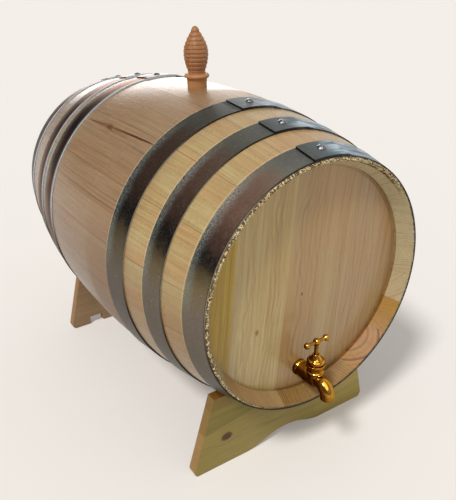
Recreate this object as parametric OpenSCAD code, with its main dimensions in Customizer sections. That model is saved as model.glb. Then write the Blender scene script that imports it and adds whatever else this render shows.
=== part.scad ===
// Small wooden barrel for serving wine, lying on a two-board stand, with a brass screw-down tap.
// +Z is up, the floor is z = 0, the barrel's axis runs along Y and its tapped head faces -Y.

/* [Barrel] */
// Length of the staves
barrel_len = 436; // [340:1:520]
// Outer diameter at the stave ends
end_d = 248; // [220:1:280]
// Outer diameter at the bilge, the widest place
bilge_d = 302; // [285:1:340]
// Thickness of a stave
stave_t = 13.5; // [11:0.5:16]
// Height of the bilge above the floor
belly_gap = 53.5; // [45:0.5:90]
// Radial width of the rough end face of the staves
chime_face = 2.5; // [1:0.1:5]
// Depth of the bevel inside the stave ends
chime_bevel = 15; // [8:0.5:18]

/* [Heads] */
// Distance from the stave ends to the outer face of a head
head_inset = 19.5; // [18.5:0.5:30]
// Thickness of a head board
head_t = 12; // [9:0.5:16]
// Thickness of the tongue that sits in the croze
tongue_t = 6; // [4:0.5:7]
// Depth of the croze, the groove that holds a head
croze_depth = 4; // [2.5:0.1:5]
// Play of the tongue in the croze
croze_fit = 0.2; // [0.1:0.05:0.4]
// Lean of the joints between the head boards, degrees
head_lean = 6; // [0:1:15]
// Diameter of the blind dowels between the head boards
head_dowel_d = 5; // [3:0.5:6]
// Length of a head dowel
head_dowel_len = 24; // [16:1:30]

/* [Hoops] */
// Thickness of the hoop iron
hoop_t = 1.1; // [0.8:0.1:2]
// Width of the chime and quarter hoops
hoop_w = 25; // [18:0.5:28]
// Width of the bilge hoops
bilge_hoop_w = 29; // [20:0.5:34]
// Front quarter hoop, distance from the front end
front_quarter_at = 53.5; // [53.5:0.5:62]
// Front bilge hoop, distance from the front end
front_bilge_at = 110.6; // [96:0.2:130]
// Rear quarter hoop, distance from the rear end
rear_quarter_at = 71; // [56:0.5:76]
// Rear bilge hoop, distance from the rear end
rear_bilge_at = 113.5; // [108:0.5:135]
// Length of the lap where a hoop is riveted
lap_len = 38; // [28:1:50]
// Length of the step up to the lap
lap_step = 9; // [6:0.5:14]
// Diameter of a rivet head
rivet_head_d = 8.5; // [6:0.5:11]
// Height of a rivet head
rivet_head_h = 2.2; // [1:0.1:3]
// Diameter of a rivet shank
rivet_d = 4; // [3:0.5:5]

/* [Bung] */
// Distance of the bung in front of the middle of the barrel
bung_at = 11.7; // [0:0.1:20]
// Length of the turned grip above its neck
grip_len = 45; // [30:1:60]
// Largest diameter of the grip
grip_d = 25.7; // [20:0.1:32]
// Diameter of the neck under the grip
neck_d = 18; // [14:0.5:20]
// Diameter of the bead above the shank
bead_d = 26.2; // [24:0.2:34]
// Thickness of the bead
bead_t = 4.6; // [3:0.2:7]
// Height of the bead's underside above the stave
bead_gap = 9.2; // [4:0.2:16]
// Diameter of the shank where it enters the stave
shank_d = 20.5; // [16:0.1:24]
// Length of the shank below the stave's outer face
shank_in = 19; // [15:0.5:26]
// Diameter lost along each millimetre of the shank
shank_taper = 0.0833; // [0.05:0.0001:0.12]
// Number of turned grooves on the grip
groove_count = 10; // [4:1:14]
// Depth of a turned groove
groove_depth = 0.7; // [0.3:0.1:1.2]

/* [Tap] */
// Sideways place of the tap, from the middle of the head
tap_x = -6; // [-20:0.5:20]
// Height of the tap's flow axis below the barrel's axis
tap_drop = 94; // [85:0.5:98]
// Distance of the valve axis in front of the head
valve_reach = 24.5; // [22:0.5:34]
// Diameter of the collar against the head
collar_d = 17; // [14:0.5:22]
// Thickness of the collar
collar_t = 4.8; // [3:0.2:7]
// Diameter of the shank through the head
tap_shank_d = 12; // [10:0.5:14]
// Length of the shank behind the head's outer face
tap_shank_len = 26; // [20:0.5:34]
// Diameter of the passage through the shank
inlet_d = 5; // [4:0.1:5.1]
// Depth of the inlet passage below the flow axis
inlet_drop = 1.6; // [1.4:0.1:2]
// Diameter of the round body
tap_body_d = 16.6; // [15.5:0.2:20]
// Diameter of the neck under the valve
tap_neck_d = 15.2; // [14:0.2:18]
// Diameter of the flange on the neck
flange_d = 18.6; // [16:0.2:24]
// Thickness of the flange
flange_t = 2.7; // [2:0.1:4]
// Height of the flange's top above the flow axis
flange_top = 18.4; // [16:0.2:24]
// Diameter of the valve chamber
chamber_d = 10.4; // [9.6:0.1:11]
// Height of the chamber's floor above the flow axis
floor_top = 2.4; // [2:0.1:4]
// Height of the raised seat on the chamber's floor
seat_h = 0.8; // [0.4:0.1:1.5]
// Diameter of the hole in the seat
seat_d = 5.4; // [5.3:0.1:5.8]
// Outer diameter of the spout
spout_d = 13.8; // [12:0.2:16]
// Diameter of the passage in the spout
spout_bore_d = 8.6; // [6:0.2:9]
// Radius of the bend in the spout's middle line
spout_bend_r = 11.5; // [10:0.5:20]
// Height of the spout's root above the flow axis
spout_rise = 1.8; // [0.5:0.1:3]
// Length of the straight mouth of the spout
mouth_len = 2; // [1:0.2:6]

/* [Valve] */
// Diameter of the bonnet's bell
bell_d = 17.4; // [15:0.2:22]
// Height of the bonnet above the flange
bonnet_h = 10.6; // [9:0.2:16]
// Diameter of the bonnet's top
bonnet_top_d = 6.8; // [6.2:0.1:9]
// Diameter of the spindle
spindle_d = 4.2; // [3.4:0.1:4.6]
// Running clearance round the spindle
spindle_fit = 0.06; // [0.03:0.01:0.1]
// Diameter of the hub that carries the cross bar
hub_d = 7.4; // [6.8:0.2:10]
// Height of the hub's centre above the flow axis
hub_up = 42.6; // [40:0.2:52]
// Diameter of the cross bar
bar_d = 3.2; // [2.4:0.1:4]
// Diameter of the balls on the cross bar
bar_ball_d = 6.4; // [5:0.2:9]
// Distance between the ball centres
bar_len = 24; // [20:0.5:36]
// Turn of the cross bar from square to the spout, degrees
bar_turn = 2; // [-45:1:45]
// Diameter of the jumper's disc
jumper_d = 8.6; // [7.6:0.1:9]
// Thickness of the jumper's disc
jumper_t = 1.6; // [1:0.1:2.4]
// Thickness of the sealing washer
washer_t = 1.8; // [1:0.1:2.5]
// Travel of the jumper from shut to open
valve_travel = 2.25; // [1:0.05:3]

/* [Stand] */
// Thickness of a stand board
board_t = 11; // [9:0.5:15]
// Distance from the front end to the middle of the front board's shoulders
front_board_at = 47.5; // [44:0.5:48]
// Distance from the rear end to the middle of the rear board
rear_board_at = 46; // [44:0.5:50]
// Lean of the front board, whose foot stands further back than its shoulders, degrees
front_lean = 3.1; // [0:0.1:5]
// Half width of a board at the floor
foot_half = 117; // [105:0.5:135]
// Inward slope of a board's sides
side_slope = 0.264; // [0.15:0.001:0.35]
// Height of a board's shoulders
shoulder_h = 93.4; // [86:0.2:110]
// Radius of a board's lower corners
corner_r = 6.5; // [2:0.5:10]
// Gap between the barrel and a board's cradle
cradle_fit = 0.3; // [0.2:0.05:0.5]
// Height of the arch under the front board
arch_h = 12.5; // [8:0.5:18]
// Radius of the middle of the arch
arch_r = 70; // [50:1:100]
// Radius of the arch's foot
arch_foot_r = 75; // [40:1:110]
// Width of a notch under the rear board
notch_w = 19; // [10:0.5:30]
// Height of a notch under the rear board
notch_h = 11; // [6:0.5:16]
// Distance of a notch's middle from the board's middle
notch_at = 78.5; // [60:0.5:85]
// Width of the stretcher between the boards
stretcher_w = 56; // [44:1:70]
// Thickness of the stretcher
stretcher_t = 11; // [9:0.5:14]
// Height of the stretcher's underside
stretcher_up = 27; // [22:0.5:32]
// Diameter of the stretcher's dowels
dowel_d = 8; // [5:0.5:8]
// Length of a dowel
dowel_len = 26; // [18:1:40]
// Depth of a dowel in its board
dowel_in = 7; // [4:0.5:8]

/* [Hidden] */
// How finely full circles are drawn
round_fn = 96;
slice_fn = 360;
arc_fn = 1440;
// Cut length that is longer than any wall
past = 1;
// Clearance round every blind dowel
dowel_fit = 0.05;

// Relative widths of the staves, clockwise from the bung stave
stave_widths = [24, 22.5, 22.5, 21.5, 21.5, 14.6, 7.9, 8.9, 24.1,
                20, 23, 19.5, 22, 24, 18.5, 22.5, 21, 22];
stave_count = len(stave_widths);
// Joints between the head boards, as shares of the head's half width
front_joints = [-0.70, -0.20, 0.395];
rear_joints = [-0.52, 0.05, 0.58];
// Places of the two dowels on a joint, as shares of the joint's half length
head_dowel_shares = [-0.45, 0.45];

end_r = end_d / 2;
bilge_r = bilge_d / 2;
half_len = barrel_len / 2;
rise = bilge_r - end_r;
// The barrel's side is one arc through both ends and the bilge
side_r = (half_len * half_len + rise * rise) / (2 * rise);
side_cx = bilge_r - side_r;
axis_h = belly_gap + bilge_r;
head_face = half_len - head_inset;
valve_out = head_face + valve_reach;
// Where the spout starts to bend, in front of the valve axis, a little inside the neck
root_in = 0.6;
spout_root = tap_neck_d / 2 - root_in;
spout_out = valve_out + spout_root + spout_bend_r + spout_d / 2;
// The middle of the whole, tap and all, is y = 0
mid_y = (spout_out - half_len) / 2;

croze_r = end_bore_r(head_face - tongue_t / 2) + croze_depth;
head_r = croze_r - croze_fit;
// Gap between the thick part of a head and the staves
head_gap = 1;
head_body_r = end_bore_r(head_face) - head_gap;

// Outer and inner radius of the staves at a distance from the middle
function outer_r(u) = side_cx + sqrt(side_r * side_r - u * u);
function end_bore_r(u) = outer_r(u) - stave_t;
function sum_to(v, n) = n <= 0 ? 0 : v[n - 1] + sum_to(v, n - 1);
stave_total = sum_to(stave_widths, stave_count);
function stave_angle(i) = 360 * stave_widths[i] / stave_total;
// Right-hand edge of a stave, seen from the front; stave 0 is centred on top
function stave_start(i) =
    90 + stave_angle(0) / 2 - 360 * sum_to(stave_widths, i + 1) / stave_total;
function two(n) = n < 10 ? str("0", n) : str(n);
function hoop_deg(len_mm, u) = len_mm / outer_r(u) * 180 / PI;

STAVES = [for (i = [0:stave_count - 1]) str("stave_", two(i + 1))];

// Barrel frame: its axis is local Z, the front end is +Z and local Y is up
module lay_barrel() translate([0, mid_y, axis_h]) rotate([90, 0, 0]) children();

// Tap frame: origin where the valve axis crosses the flow axis, Z up and -Y forward
module place_tap() translate([tap_x, mid_y - valve_out, axis_h - tap_drop]) children();
// Turns a shape that runs along Z so that it runs forward
module forward() rotate([90, 0, 0]) children();

module stave_profile() {
    difference() {
        intersection() {
            translate([side_cx, 0]) circle(r = side_r, $fn = arc_fn);
            translate([end_r / 2, -half_len]) square([bilge_r, barrel_len]);
        }
        translate([side_cx, 0]) circle(r = side_r - stave_t, $fn = arc_fn);
        for (side = [0, 1]) mirror([0, side]) {
            chime_cut();
            croze_cut();
        }
    }
}

// Bevel from the rough end face down to the bore
module chime_cut() {
    bevel_r = end_bore_r(half_len - chime_bevel) - 0.01;
    polygon([[end_r / 2, half_len - chime_bevel], [bevel_r, half_len - chime_bevel],
             [end_r - chime_face, half_len], [end_r - chime_face, half_len + past],
             [end_r / 2, half_len + past]]);
}

module croze_cut() {
    translate([end_r / 2, head_face - tongue_t - croze_fit])
        square([croze_r - end_r / 2, tongue_t + 2 * croze_fit]);
}

module stave(i) {
    color("burlywood")
    lay_barrel()
    difference() {
        rotate([0, 0, stave_start(i)])
            rotate_extrude(angle = stave_angle(i), $fn = slice_fn) stave_profile();
        if (i == 0) bung_hole();
    }
}

// Tapered hole through the top stave, in the barrel frame
module bung_hole() {
    hole_fit = 0.05;
    translate([0, bilge_r, bung_at]) rotate([-90, 0, 0])
        translate([0, 0, -shank_in - past])
        cylinder(d1 = shank_width(-shank_in - past) + 2 * hole_fit,
                 d2 = shank_width(past) + 2 * hole_fit, h = shank_in + 2 * past,
                 $fn = round_fn);
}

// Diameter of the bung's shank at a height above the bilge
function shank_width(up) = shank_d + shank_taper * up;

// A head is a round panel with a tongue for the croze and a bevel behind it
module head_panel() {
    rotate_extrude($fn = slice_fn)
        polygon([[0, 0], [head_r, 0], [head_r, -tongue_t], [head_body_r, -tongue_t],
                 [head_body_r - (head_t - tongue_t) / 2, -head_t], [0, -head_t]]);
}

// Strip of the head between two joints, given as shares of its half width
module head_strip(low, high) {
    reach = head_r + past;
    rotate([0, 0, -head_lean])
        translate([low * head_r, -reach, -head_t - past])
        cube([(high - low) * head_r, 2 * reach, head_t + 2 * past]);
}

// The outer strips run just past the round panel
past_share = 1.01;
function joint_edges(joints) = concat([-past_share], joints, [past_share]);

// One head board, drawn with its outer face at z = 0
module head_board(joints, i) {
    edges = joint_edges(joints);
    difference() {
        intersection() {
            head_panel();
            head_strip(edges[i], edges[i + 1]);
        }
        head_dowel_set(joints, dowel_fit);
    }
}

// Blind dowels across the joints between the head boards
module head_dowel_set(joints, fit) {
    for (j = joints, share = head_dowel_shares) {
        half_joint = head_r * sqrt(1 - j * j);
        rotate([0, 0, -head_lean])
            translate([j * head_r, share * half_joint, -head_t / 2])
            rotate([0, 90, 0])
            cylinder(d = head_dowel_d + 2 * fit, h = head_dowel_len + 2 * fit,
                     center = true, $fn = round_fn);
    }
}

module front_head_board(i) {
    color("tan")
    lay_barrel()
    difference() {
        translate([0, 0, head_face]) head_board(front_joints, i);
        tap_hole();
    }
}

module rear_head_board(i) {
    color("tan")
    lay_barrel() translate([0, 0, -head_face]) mirror([0, 0, 1]) head_board(rear_joints, i);
}

module tap_hole() {
    hole_fit = 0.05;
    translate([tap_x, -tap_drop, head_face - head_t - past])
        cylinder(d = tap_shank_d + 2 * hole_fit, h = head_t + 2 * past, $fn = round_fn);
}

module front_head_dowels() {
    color("peru") lay_barrel() translate([0, 0, head_face]) head_dowel_set(front_joints, 0);
}

module rear_head_dowels() {
    color("peru")
    lay_barrel() translate([0, 0, -head_face]) mirror([0, 0, 1]) head_dowel_set(rear_joints, 0);
}

// Clearances of the hoop iron: over the staves and between the layers of a lap
hoop_fit = 0.2;
lap_fit = 0.2;
// Angle of the square-cut end of each lap, seen from the front
chime_lap_end = 96;
front_quarter_lap_end = 95.5;
front_bilge_lap_end = 93;
rear_quarter_lap_end = 97.5;
rear_bilge_lap_end = 95.7;
// Share of the lap, from the cut end, where its rivet stands
rivet_share = 0.5;
// Distance of a rivet from the middle of its hoop, towards the bilge
rivet_off = 2;
rivet_seat = 0.05;
rivet_fit = 0.05;
rivet_hole_len = 12;
// Gap between the covered end of a hoop and the step
lap_gap = 0.8;
// How far the step runs into the strips, and how much thinner it is at each face
step_bite = 0.5;
step_hair = 0.02;

// Cross-section of a hoop between two places along the barrel, lifted by a layer
module hoop_section(u1, u2, lift, inset = 0) {
    r1 = outer_r(u1) + hoop_fit + lift;
    r2 = outer_r(u2) + hoop_fit + lift;
    polygon([[r1 + inset, u1 + inset], [r1 + hoop_t - inset, u1 + inset],
             [r2 + hoop_t - inset, u2 - inset], [r2 + inset, u2 - inset]]);
}

// A hoop is a flared strip whose end laps over its own start behind a short step.
// The step is a hair thinner than the iron and runs a little way into it at both ends.
module hoop(u1, u2, lap_end) {
    mid = (u1 + u2) / 2;
    lift = hoop_t + lap_fit;
    lap_start = lap_end - hoop_deg(lap_len, mid);
    step_start = lap_start - hoop_deg(lap_step, mid);
    end_gap = hoop_deg(lap_gap, mid);
    bite = hoop_deg(step_bite, mid);
    color("dimgray")
    lay_barrel()
    difference() {
        union() {
            rotate([0, 0, lap_start + end_gap])
                rotate_extrude(angle = 360 + step_start - lap_start - end_gap, $fn = slice_fn)
                hoop_section(u1, u2, 0);
            hull() {
                rotate([0, 0, step_start - bite])
                    rotate_extrude(angle = bite, $fn = 32) hoop_section(u1, u2, 0, step_hair);
                rotate([0, 0, lap_start])
                    rotate_extrude(angle = bite, $fn = 32) hoop_section(u1, u2, lift, step_hair);
            }
            rotate([0, 0, lap_start])
                rotate_extrude(angle = lap_end - lap_start, $fn = slice_fn)
                hoop_section(u1, u2, lift);
        }
        rivet_place(u1, u2, lap_end)
            cylinder(d = rivet_d + 2 * rivet_fit, h = rivet_hole_len, center = true,
                     $fn = round_fn);
    }
}

// Stands its children on the outside of the lap, with Z pointing away from the barrel
module rivet_place(u1, u2, lap_end) {
    mid = (u1 + u2) / 2;
    side = mid > 0 ? -1 : 1;
    at = mid + side * rivet_off;
    flare = atan((outer_r(u2) - outer_r(u1)) / (u2 - u1));
    top = (outer_r(u1) + outer_r(u2)) / 2 + hoop_fit + 2 * hoop_t + lap_fit
        + tan(flare) * (at - mid);
    rotate([0, 0, lap_end - rivet_share * hoop_deg(lap_len, mid)])
        translate([top, 0, at])
        rotate([0, 90 + flare, 0]) children();
}

module rivet(u1, u2, lap_end) {
    dome_r = (rivet_head_d * rivet_head_d / 4 + rivet_head_h * rivet_head_h)
        / (2 * rivet_head_h);
    stack = 2 * hoop_t + lap_fit;
    rivet_place(u1, u2, lap_end) {
        intersection() {
            translate([0, 0, rivet_seat + rivet_head_h - dome_r])
                sphere(r = dome_r, $fn = round_fn);
            translate([0, 0, rivet_seat])
                cylinder(d = rivet_head_d + past, h = rivet_head_h + past, $fn = round_fn);
        }
        translate([0, 0, -stack + rivet_seat])
            cylinder(d = rivet_d, h = stack + past, $fn = round_fn);
    }
}

// Places of the hoops along the barrel, from its middle
front_chime_u = [half_len - hoop_w, half_len];
front_quarter_u = [half_len - front_quarter_at - hoop_w, half_len - front_quarter_at];
front_bilge_u = [half_len - front_bilge_at - bilge_hoop_w, half_len - front_bilge_at];
rear_chime_u = [-half_len, -half_len + hoop_w];
rear_quarter_u = [-half_len + rear_quarter_at, -half_len + rear_quarter_at + hoop_w];
rear_bilge_u = [-half_len + rear_bilge_at, -half_len + rear_bilge_at + bilge_hoop_w];

module front_chime_hoop() hoop(front_chime_u[0], front_chime_u[1], chime_lap_end);
module front_quarter_hoop() hoop(front_quarter_u[0], front_quarter_u[1], front_quarter_lap_end);
module front_bilge_hoop() hoop(front_bilge_u[0], front_bilge_u[1], front_bilge_lap_end);
module rear_chime_hoop() hoop(rear_chime_u[0], rear_chime_u[1], chime_lap_end);
module rear_quarter_hoop() hoop(rear_quarter_u[0], rear_quarter_u[1], rear_quarter_lap_end);
module rear_bilge_hoop() hoop(rear_bilge_u[0], rear_bilge_u[1], rear_bilge_lap_end);

module hoop_rivets() {
    color("silver")
    lay_barrel() {
        rivet(front_chime_u[0], front_chime_u[1], chime_lap_end);
        rivet(front_quarter_u[0], front_quarter_u[1], front_quarter_lap_end);
        rivet(front_bilge_u[0], front_bilge_u[1], front_bilge_lap_end);
        rivet(rear_chime_u[0], rear_chime_u[1], chime_lap_end);
        rivet(rear_quarter_u[0], rear_quarter_u[1], rear_quarter_lap_end);
        rivet(rear_bilge_u[0], rear_bilge_u[1], rear_bilge_lap_end);
    }
}

// Radius of the grip at a share of its length: it swells above the neck and closes at the tip
swell_share = 0.41;
function grip_r(s) = s < swell_share
    ? neck_d / 2 + (grip_d - neck_d) / 2 * sin(90 * s / swell_share)
    : grip_d / 2 * cos(90 * (s - swell_share) / (1 - swell_share));

// Outline of the grip with its turned grooves: each groove has a lip, a floor and a lip
first_groove_share = 0.05;
last_groove_share = 0.88;
groove_lip_share = 0.026;
// Shares where the rounded tip has its last points
tip_shares = [0.945, 0.975];
function groove_share(i) =
    first_groove_share
        + (last_groove_share - first_groove_share) * i / (groove_count - 1);
function grip_outline() = concat(
    [for (i = [0:groove_count - 1], k = [-1, 0, 1])
        let (s = groove_share(i) + k * groove_lip_share)
        [grip_r(s) - (k == 0 ? groove_depth : 0), s * grip_len]],
    [for (s = tip_shares) [grip_r(s), s * grip_len]]);

// Short straight neck between the bead and the grip
neck_h = 2;
bead_up = bead_gap + bead_t;
grip_up = bead_up + neck_h;
// The bead's rounded edge in the bung's outline
function bead_edge() =
    [for (a = [-60:30:60])
        [(bead_d - bead_t) / 2 + bead_t / 2 * cos(a), bead_gap + bead_t / 2 * (1 + sin(a))]];

module bung() {
    color("sandybrown")
    lay_barrel() translate([0, bilge_r, bung_at]) rotate([-90, 0, 0])
        rotate_extrude($fn = round_fn)
        polygon(concat(
            [[0, -shank_in], [shank_width(-shank_in) / 2, -shank_in],
             [shank_width(bead_gap) / 2, bead_gap], [(bead_d - bead_t) / 2, bead_gap]],
            bead_edge(),
            [[(bead_d - bead_t) / 2, bead_up], [neck_d / 2, bead_up], [neck_d / 2, grip_up]],
            [for (p = grip_outline()) [p[0], p[1] + grip_up]],
            [[0, grip_len + grip_up]]));
}

// Straight round bar along the flow axis, from y1 back to y2
module flow_bar(d, y1, y2, up) {
    translate([0, y2, up]) forward() cylinder(d = d, h = y2 - y1, $fn = round_fn);
}

// Revolved body of the tap: an arc that swells slightly and is drawn in at both ends
body_swell_r = 113;
body_swell_at = 8;
body_front = -1.6;
// How much narrower the body's round front is than the body
front_in = 0.8;
module body_profile(back) {
    intersection() {
        translate([tap_body_d / 2 - body_swell_r, -body_swell_at])
            circle(r = body_swell_r, $fn = arc_fn);
        translate([0, -back]) square([tap_body_d, back - body_front]);
    }
}

// Collar whose front edge is rounded over
collar_edge_r = 2.2;
module collar_profile(back) {
    edge_r = min(collar_edge_r, collar_t / 2);
    translate([0, -back]) square([collar_d / 2 - edge_r, collar_t]);
    translate([0, -back]) square([collar_d / 2, collar_t - edge_r]);
    translate([collar_d / 2 - edge_r, collar_t - edge_r - back])
        circle(r = edge_r, $fn = round_fn);
}

// Neck with a cove under its flange and a bead at its foot
module neck_profile() {
    cove_r = 1.5;
    bead_r = 1;
    bead_at = 9.4;
    difference() {
        union() {
            square([tap_neck_d / 2, flange_top]);
            translate([0, flange_top - flange_t - cove_r])
                square([tap_neck_d / 2 + cove_r, cove_r + flange_t / 2]);
            translate([0, flange_top - flange_t]) square([flange_d / 2, flange_t]);
        }
        translate([tap_neck_d / 2 + cove_r, flange_top - flange_t - cove_r])
            circle(r = cove_r, $fn = round_fn);
    }
    translate([tap_neck_d / 2, bead_at]) circle(r = bead_r, $fn = round_fn);
}

// Quarter bend of the spout and its straight mouth, for a given diameter
module spout_run(d, extra) {
    translate([0, -spout_root, spout_rise - spout_bend_r]) {
        rotate([0, 90, 0]) rotate([0, 0, 180])
            rotate_extrude(angle = 90, $fn = round_fn)
            translate([spout_bend_r, 0]) circle(d = d, $fn = round_fn);
        translate([0, -spout_bend_r, -mouth_len - extra])
            cylinder(d = d, h = mouth_len + extra, $fn = round_fn);
    }
}

module tap_body() {
    color("goldenrod")
    place_tap()
    difference() {
        union() {
            flow_bar(tap_shank_d, valve_reach - past, valve_reach + tap_shank_len, 0);
            forward() rotate_extrude($fn = round_fn) collar_profile(valve_reach);
            forward() rotate_extrude($fn = round_fn) body_profile(valve_reach - collar_t / 2);
            translate([0, body_front, 0]) sphere(d = tap_body_d - front_in, $fn = round_fn);
            rotate_extrude($fn = round_fn) neck_profile();
            flow_bar(spout_d, -spout_root, body_front, spout_rise);
            spout_run(spout_d, 0);
        }
        tap_passages();
    }
}

// Inlet, seat hole, valve chamber and spout passage, one clear way through the body
module tap_passages() {
    flow_bar(inlet_d, 0, valve_reach + tap_shank_len + past, -inlet_drop);
    translate([0, 0, -inlet_drop])
        cylinder(d = seat_d, h = floor_top + seat_h + inlet_drop + past, $fn = round_fn);
    difference() {
        translate([0, 0, floor_top])
            cylinder(d = chamber_d, h = flange_top - floor_top + past, $fn = round_fn);
        translate([0, 0, floor_top - past])
            cylinder(d = seat_d + 2 * seat_lip, h = seat_h + past, $fn = round_fn);
    }
    // the spout's passage breaks into the chamber above the floor, clear of the seat
    intersection() {
        flow_bar(spout_bore_d, -spout_root, 0, spout_rise);
        translate([-spout_bore_d, -spout_root - past, floor_top])
            cube([2 * spout_bore_d, spout_root + past - seat_reach, chamber_d]);
    }
    flow_bar(spout_bore_d, -spout_root, -chamber_d / 2 - root_in, spout_rise);
    spout_run(spout_bore_d, past);
}

// Width of the raised seat round its hole, and how far the spout's passage stays off it
seat_lip = 1.1;
seat_wall = 0.3;
seat_reach = seat_d / 2 + seat_lip + seat_wall;
// Heights in the valve, above the flow axis, with the valve shut
seat_top = floor_top + seat_h;
jumper_up = seat_top + washer_t;
spindle_up = jumper_up + jumper_t;
// Thicker, threaded part of the spindle and the bonnet's plug in the valve chamber
screw_d = 6.4;
screw_len = 11.4;
plug_len = 6;
plug_fit = 0.05;
screw_top = spindle_up + screw_len;
end_room = 0.3;
screw_room = screw_top + valve_travel + end_room;
// Jumper's pin and the blind hole that it turns in
jumper_pin_d = 3;
jumper_pin_len = 5;
// Packing ring round the spindle in a groove inside the bonnet
packing_d = 7.4;
packing_h = 2;
packing_over_flange = 5;
packing_up = flange_top + packing_over_flange;

// Bell outside: a rim, a rounded shoulder and a hollow flare up to the spindle
module bonnet_outline() {
    groove_h = 1.4;
    groove_in = 1.7;
    rim_h = 1.4;
    shoulder_r = 2.4;
    foot_r = bell_d / 2 - shoulder_r;
    shoulder_up = groove_h + rim_h;
    flare_from = [foot_r, shoulder_up + shoulder_r];
    flare_to = [bonnet_top_d / 2, bonnet_h];
    hollow_r = 16;
    square([flange_d / 2 - groove_in, groove_h]);
    translate([0, groove_h]) square([bell_d / 2, rim_h]);
    translate([0, shoulder_up]) square([foot_r, shoulder_r]);
    translate([foot_r, shoulder_up]) intersection() {
        circle(r = shoulder_r, $fn = round_fn);
        square(shoulder_r);
    }
    difference() {
        polygon([[0, flare_from[1]], flare_from, flare_to, [0, flare_to[1]]]);
        translate(hollow_centre(flare_from, flare_to, hollow_r))
            circle(r = hollow_r, $fn = arc_fn);
    }
}

// Centre of an arc of radius r through two points, on the side away from the axis
function hollow_centre(p, q, r) =
    let (chord = q - p, half = norm(chord) / 2, across = [chord[1], -chord[0]] / norm(chord))
    (p + q) / 2 + across * sqrt(r * r - half * half);

module tap_bonnet() {
    color("goldenrod")
    place_tap()
    difference() {
        union() {
            translate([0, 0, flange_top]) rotate_extrude($fn = round_fn) bonnet_outline();
            translate([0, 0, flange_top - plug_len])
                cylinder(d = chamber_d - 2 * plug_fit, h = plug_len + past, $fn = round_fn);
        }
        translate([0, 0, flange_top - plug_len - past])
            cylinder(d = screw_d + 2 * spindle_fit, h = screw_room - flange_top + plug_len + past,
                     $fn = round_fn);
        cylinder(d = spindle_d + 2 * spindle_fit, h = flange_top + bonnet_h + past,
                 $fn = round_fn);
        translate([0, 0, packing_up]) cylinder(d = packing_d, h = packing_h, $fn = round_fn);
    }
}

module tap_packing() {
    ring_fit = 0.05;
    color("ivory")
    place_tap()
    translate([0, 0, packing_up + ring_fit])
        difference() {
            cylinder(d = packing_d - 2 * ring_fit, h = packing_h - 2 * ring_fit, $fn = round_fn);
            translate([0, 0, -past])
                cylinder(d = spindle_d + 2 * spindle_fit, h = packing_h + 2 * past,
                         $fn = round_fn);
        }
}

module tap_spindle() {
    color("gold")
    place_tap()
    difference() {
        union() {
            translate([0, 0, spindle_up]) cylinder(d = screw_d, h = screw_len, $fn = round_fn);
            translate([0, 0, spindle_up])
                cylinder(d = spindle_d, h = hub_up - spindle_up, $fn = round_fn);
            translate([0, 0, hub_up]) sphere(d = hub_d, $fn = round_fn);
        }
        translate([0, 0, spindle_up - past])
            cylinder(d = jumper_pin_d + 2 * spindle_fit, h = jumper_pin_len + end_room + past,
                     $fn = round_fn);
        cross_bar_axis()
            cylinder(d = bar_d + 2 * bar_fit, h = hub_d + past, center = true,
                     $fn = round_fn);
    }
}

bar_fit = 0.03;
module cross_bar_axis() {
    translate([0, 0, hub_up]) rotate([0, 0, bar_turn]) rotate([0, 90, 0]) children();
}

// Cross bar with a ball at each end
module tap_handle() {
    color("gold")
    place_tap() cross_bar_axis() {
        cylinder(d = bar_d, h = bar_len, center = true, $fn = round_fn);
        for (side = [-1, 1])
            translate([0, 0, side * bar_len / 2]) sphere(d = bar_ball_d, $fn = round_fn);
    }
}

// Jumper: a disc that carries the washer, with a pin that turns in the spindle
module tap_jumper() {
    color("goldenrod")
    place_tap() {
        translate([0, 0, jumper_up]) cylinder(d = jumper_d, h = jumper_t, $fn = round_fn);
        cylinder_up(jumper_up, spindle_up + jumper_pin_len, jumper_pin_d);
        cylinder_up(seat_top + pin_in, jumper_up + pin_root, washer_pin_d);
    }
}

// Pin that holds the washer: it stops short of the seat and is rooted in the disc
washer_pin_d = 2;
pin_in = 0.4;
pin_root = 0.1;
module cylinder_up(low, high, d) {
    translate([0, 0, low]) cylinder(d = d, h = high - low, $fn = round_fn);
}

module tap_washer() {
    washer_in = 0.3;
    washer_fit = 0.05;
    color("black")
    place_tap()
    difference() {
        cylinder_up(seat_top, jumper_up, jumper_d - 2 * washer_in);
        cylinder_up(seat_top - past, jumper_up + past, washer_pin_d + 2 * washer_fit);
    }
}

// Points of an arc about a centre
function arc_points(cx, cy, r, from, to, n) =
    [for (i = [0:n]) let (a = from + (to - from) * i / n) [cx + r * cos(a), cy + r * sin(a)]];

// Right-hand side of a board: rounded foot corner, sloping side and flat shoulder
slope_len = sqrt(1 + side_slope * side_slope);
corner_in = corner_r * (side_slope + slope_len);
function board_side() = concat(
    arc_points(foot_half - corner_in, corner_r, corner_r, -90, atan(side_slope), 8),
    [[foot_half - side_slope * shoulder_h, shoulder_h]]);
function mirrored(points) =
    [for (i = [len(points) - 1:-1:0]) [-points[i][0], points[i][1]]];

module board_outline() {
    polygon(concat(board_side(), mirrored(board_side())));
}

// Arch with flared feet: a middle arc that runs into two foot arcs tangent to the floor
arch_feet = sqrt(pow(arch_r + arch_foot_r, 2) - pow(arch_r - arch_h + arch_foot_r, 2));
arch_tilt = asin(arch_feet / (arch_r + arch_foot_r));
function arch_side() = concat(
    arc_points(arch_feet, arch_foot_r, arch_foot_r, -90, -90 - arch_tilt, 10),
    arc_points(0, arch_h - arch_r, arch_r, 90 - arch_tilt, 90, 10));

module arch_outline() {
    right = arch_side();
    left = mirrored(right);
    polygon(concat(right, [for (i = [1:len(left) - 1]) left[i]], [[0, -past]]));
}

module notch_outline() {
    for (side = [-1, 1])
        translate([side * notch_at - notch_w / 2, -past]) square([notch_w, notch_h + past]);
}

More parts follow.
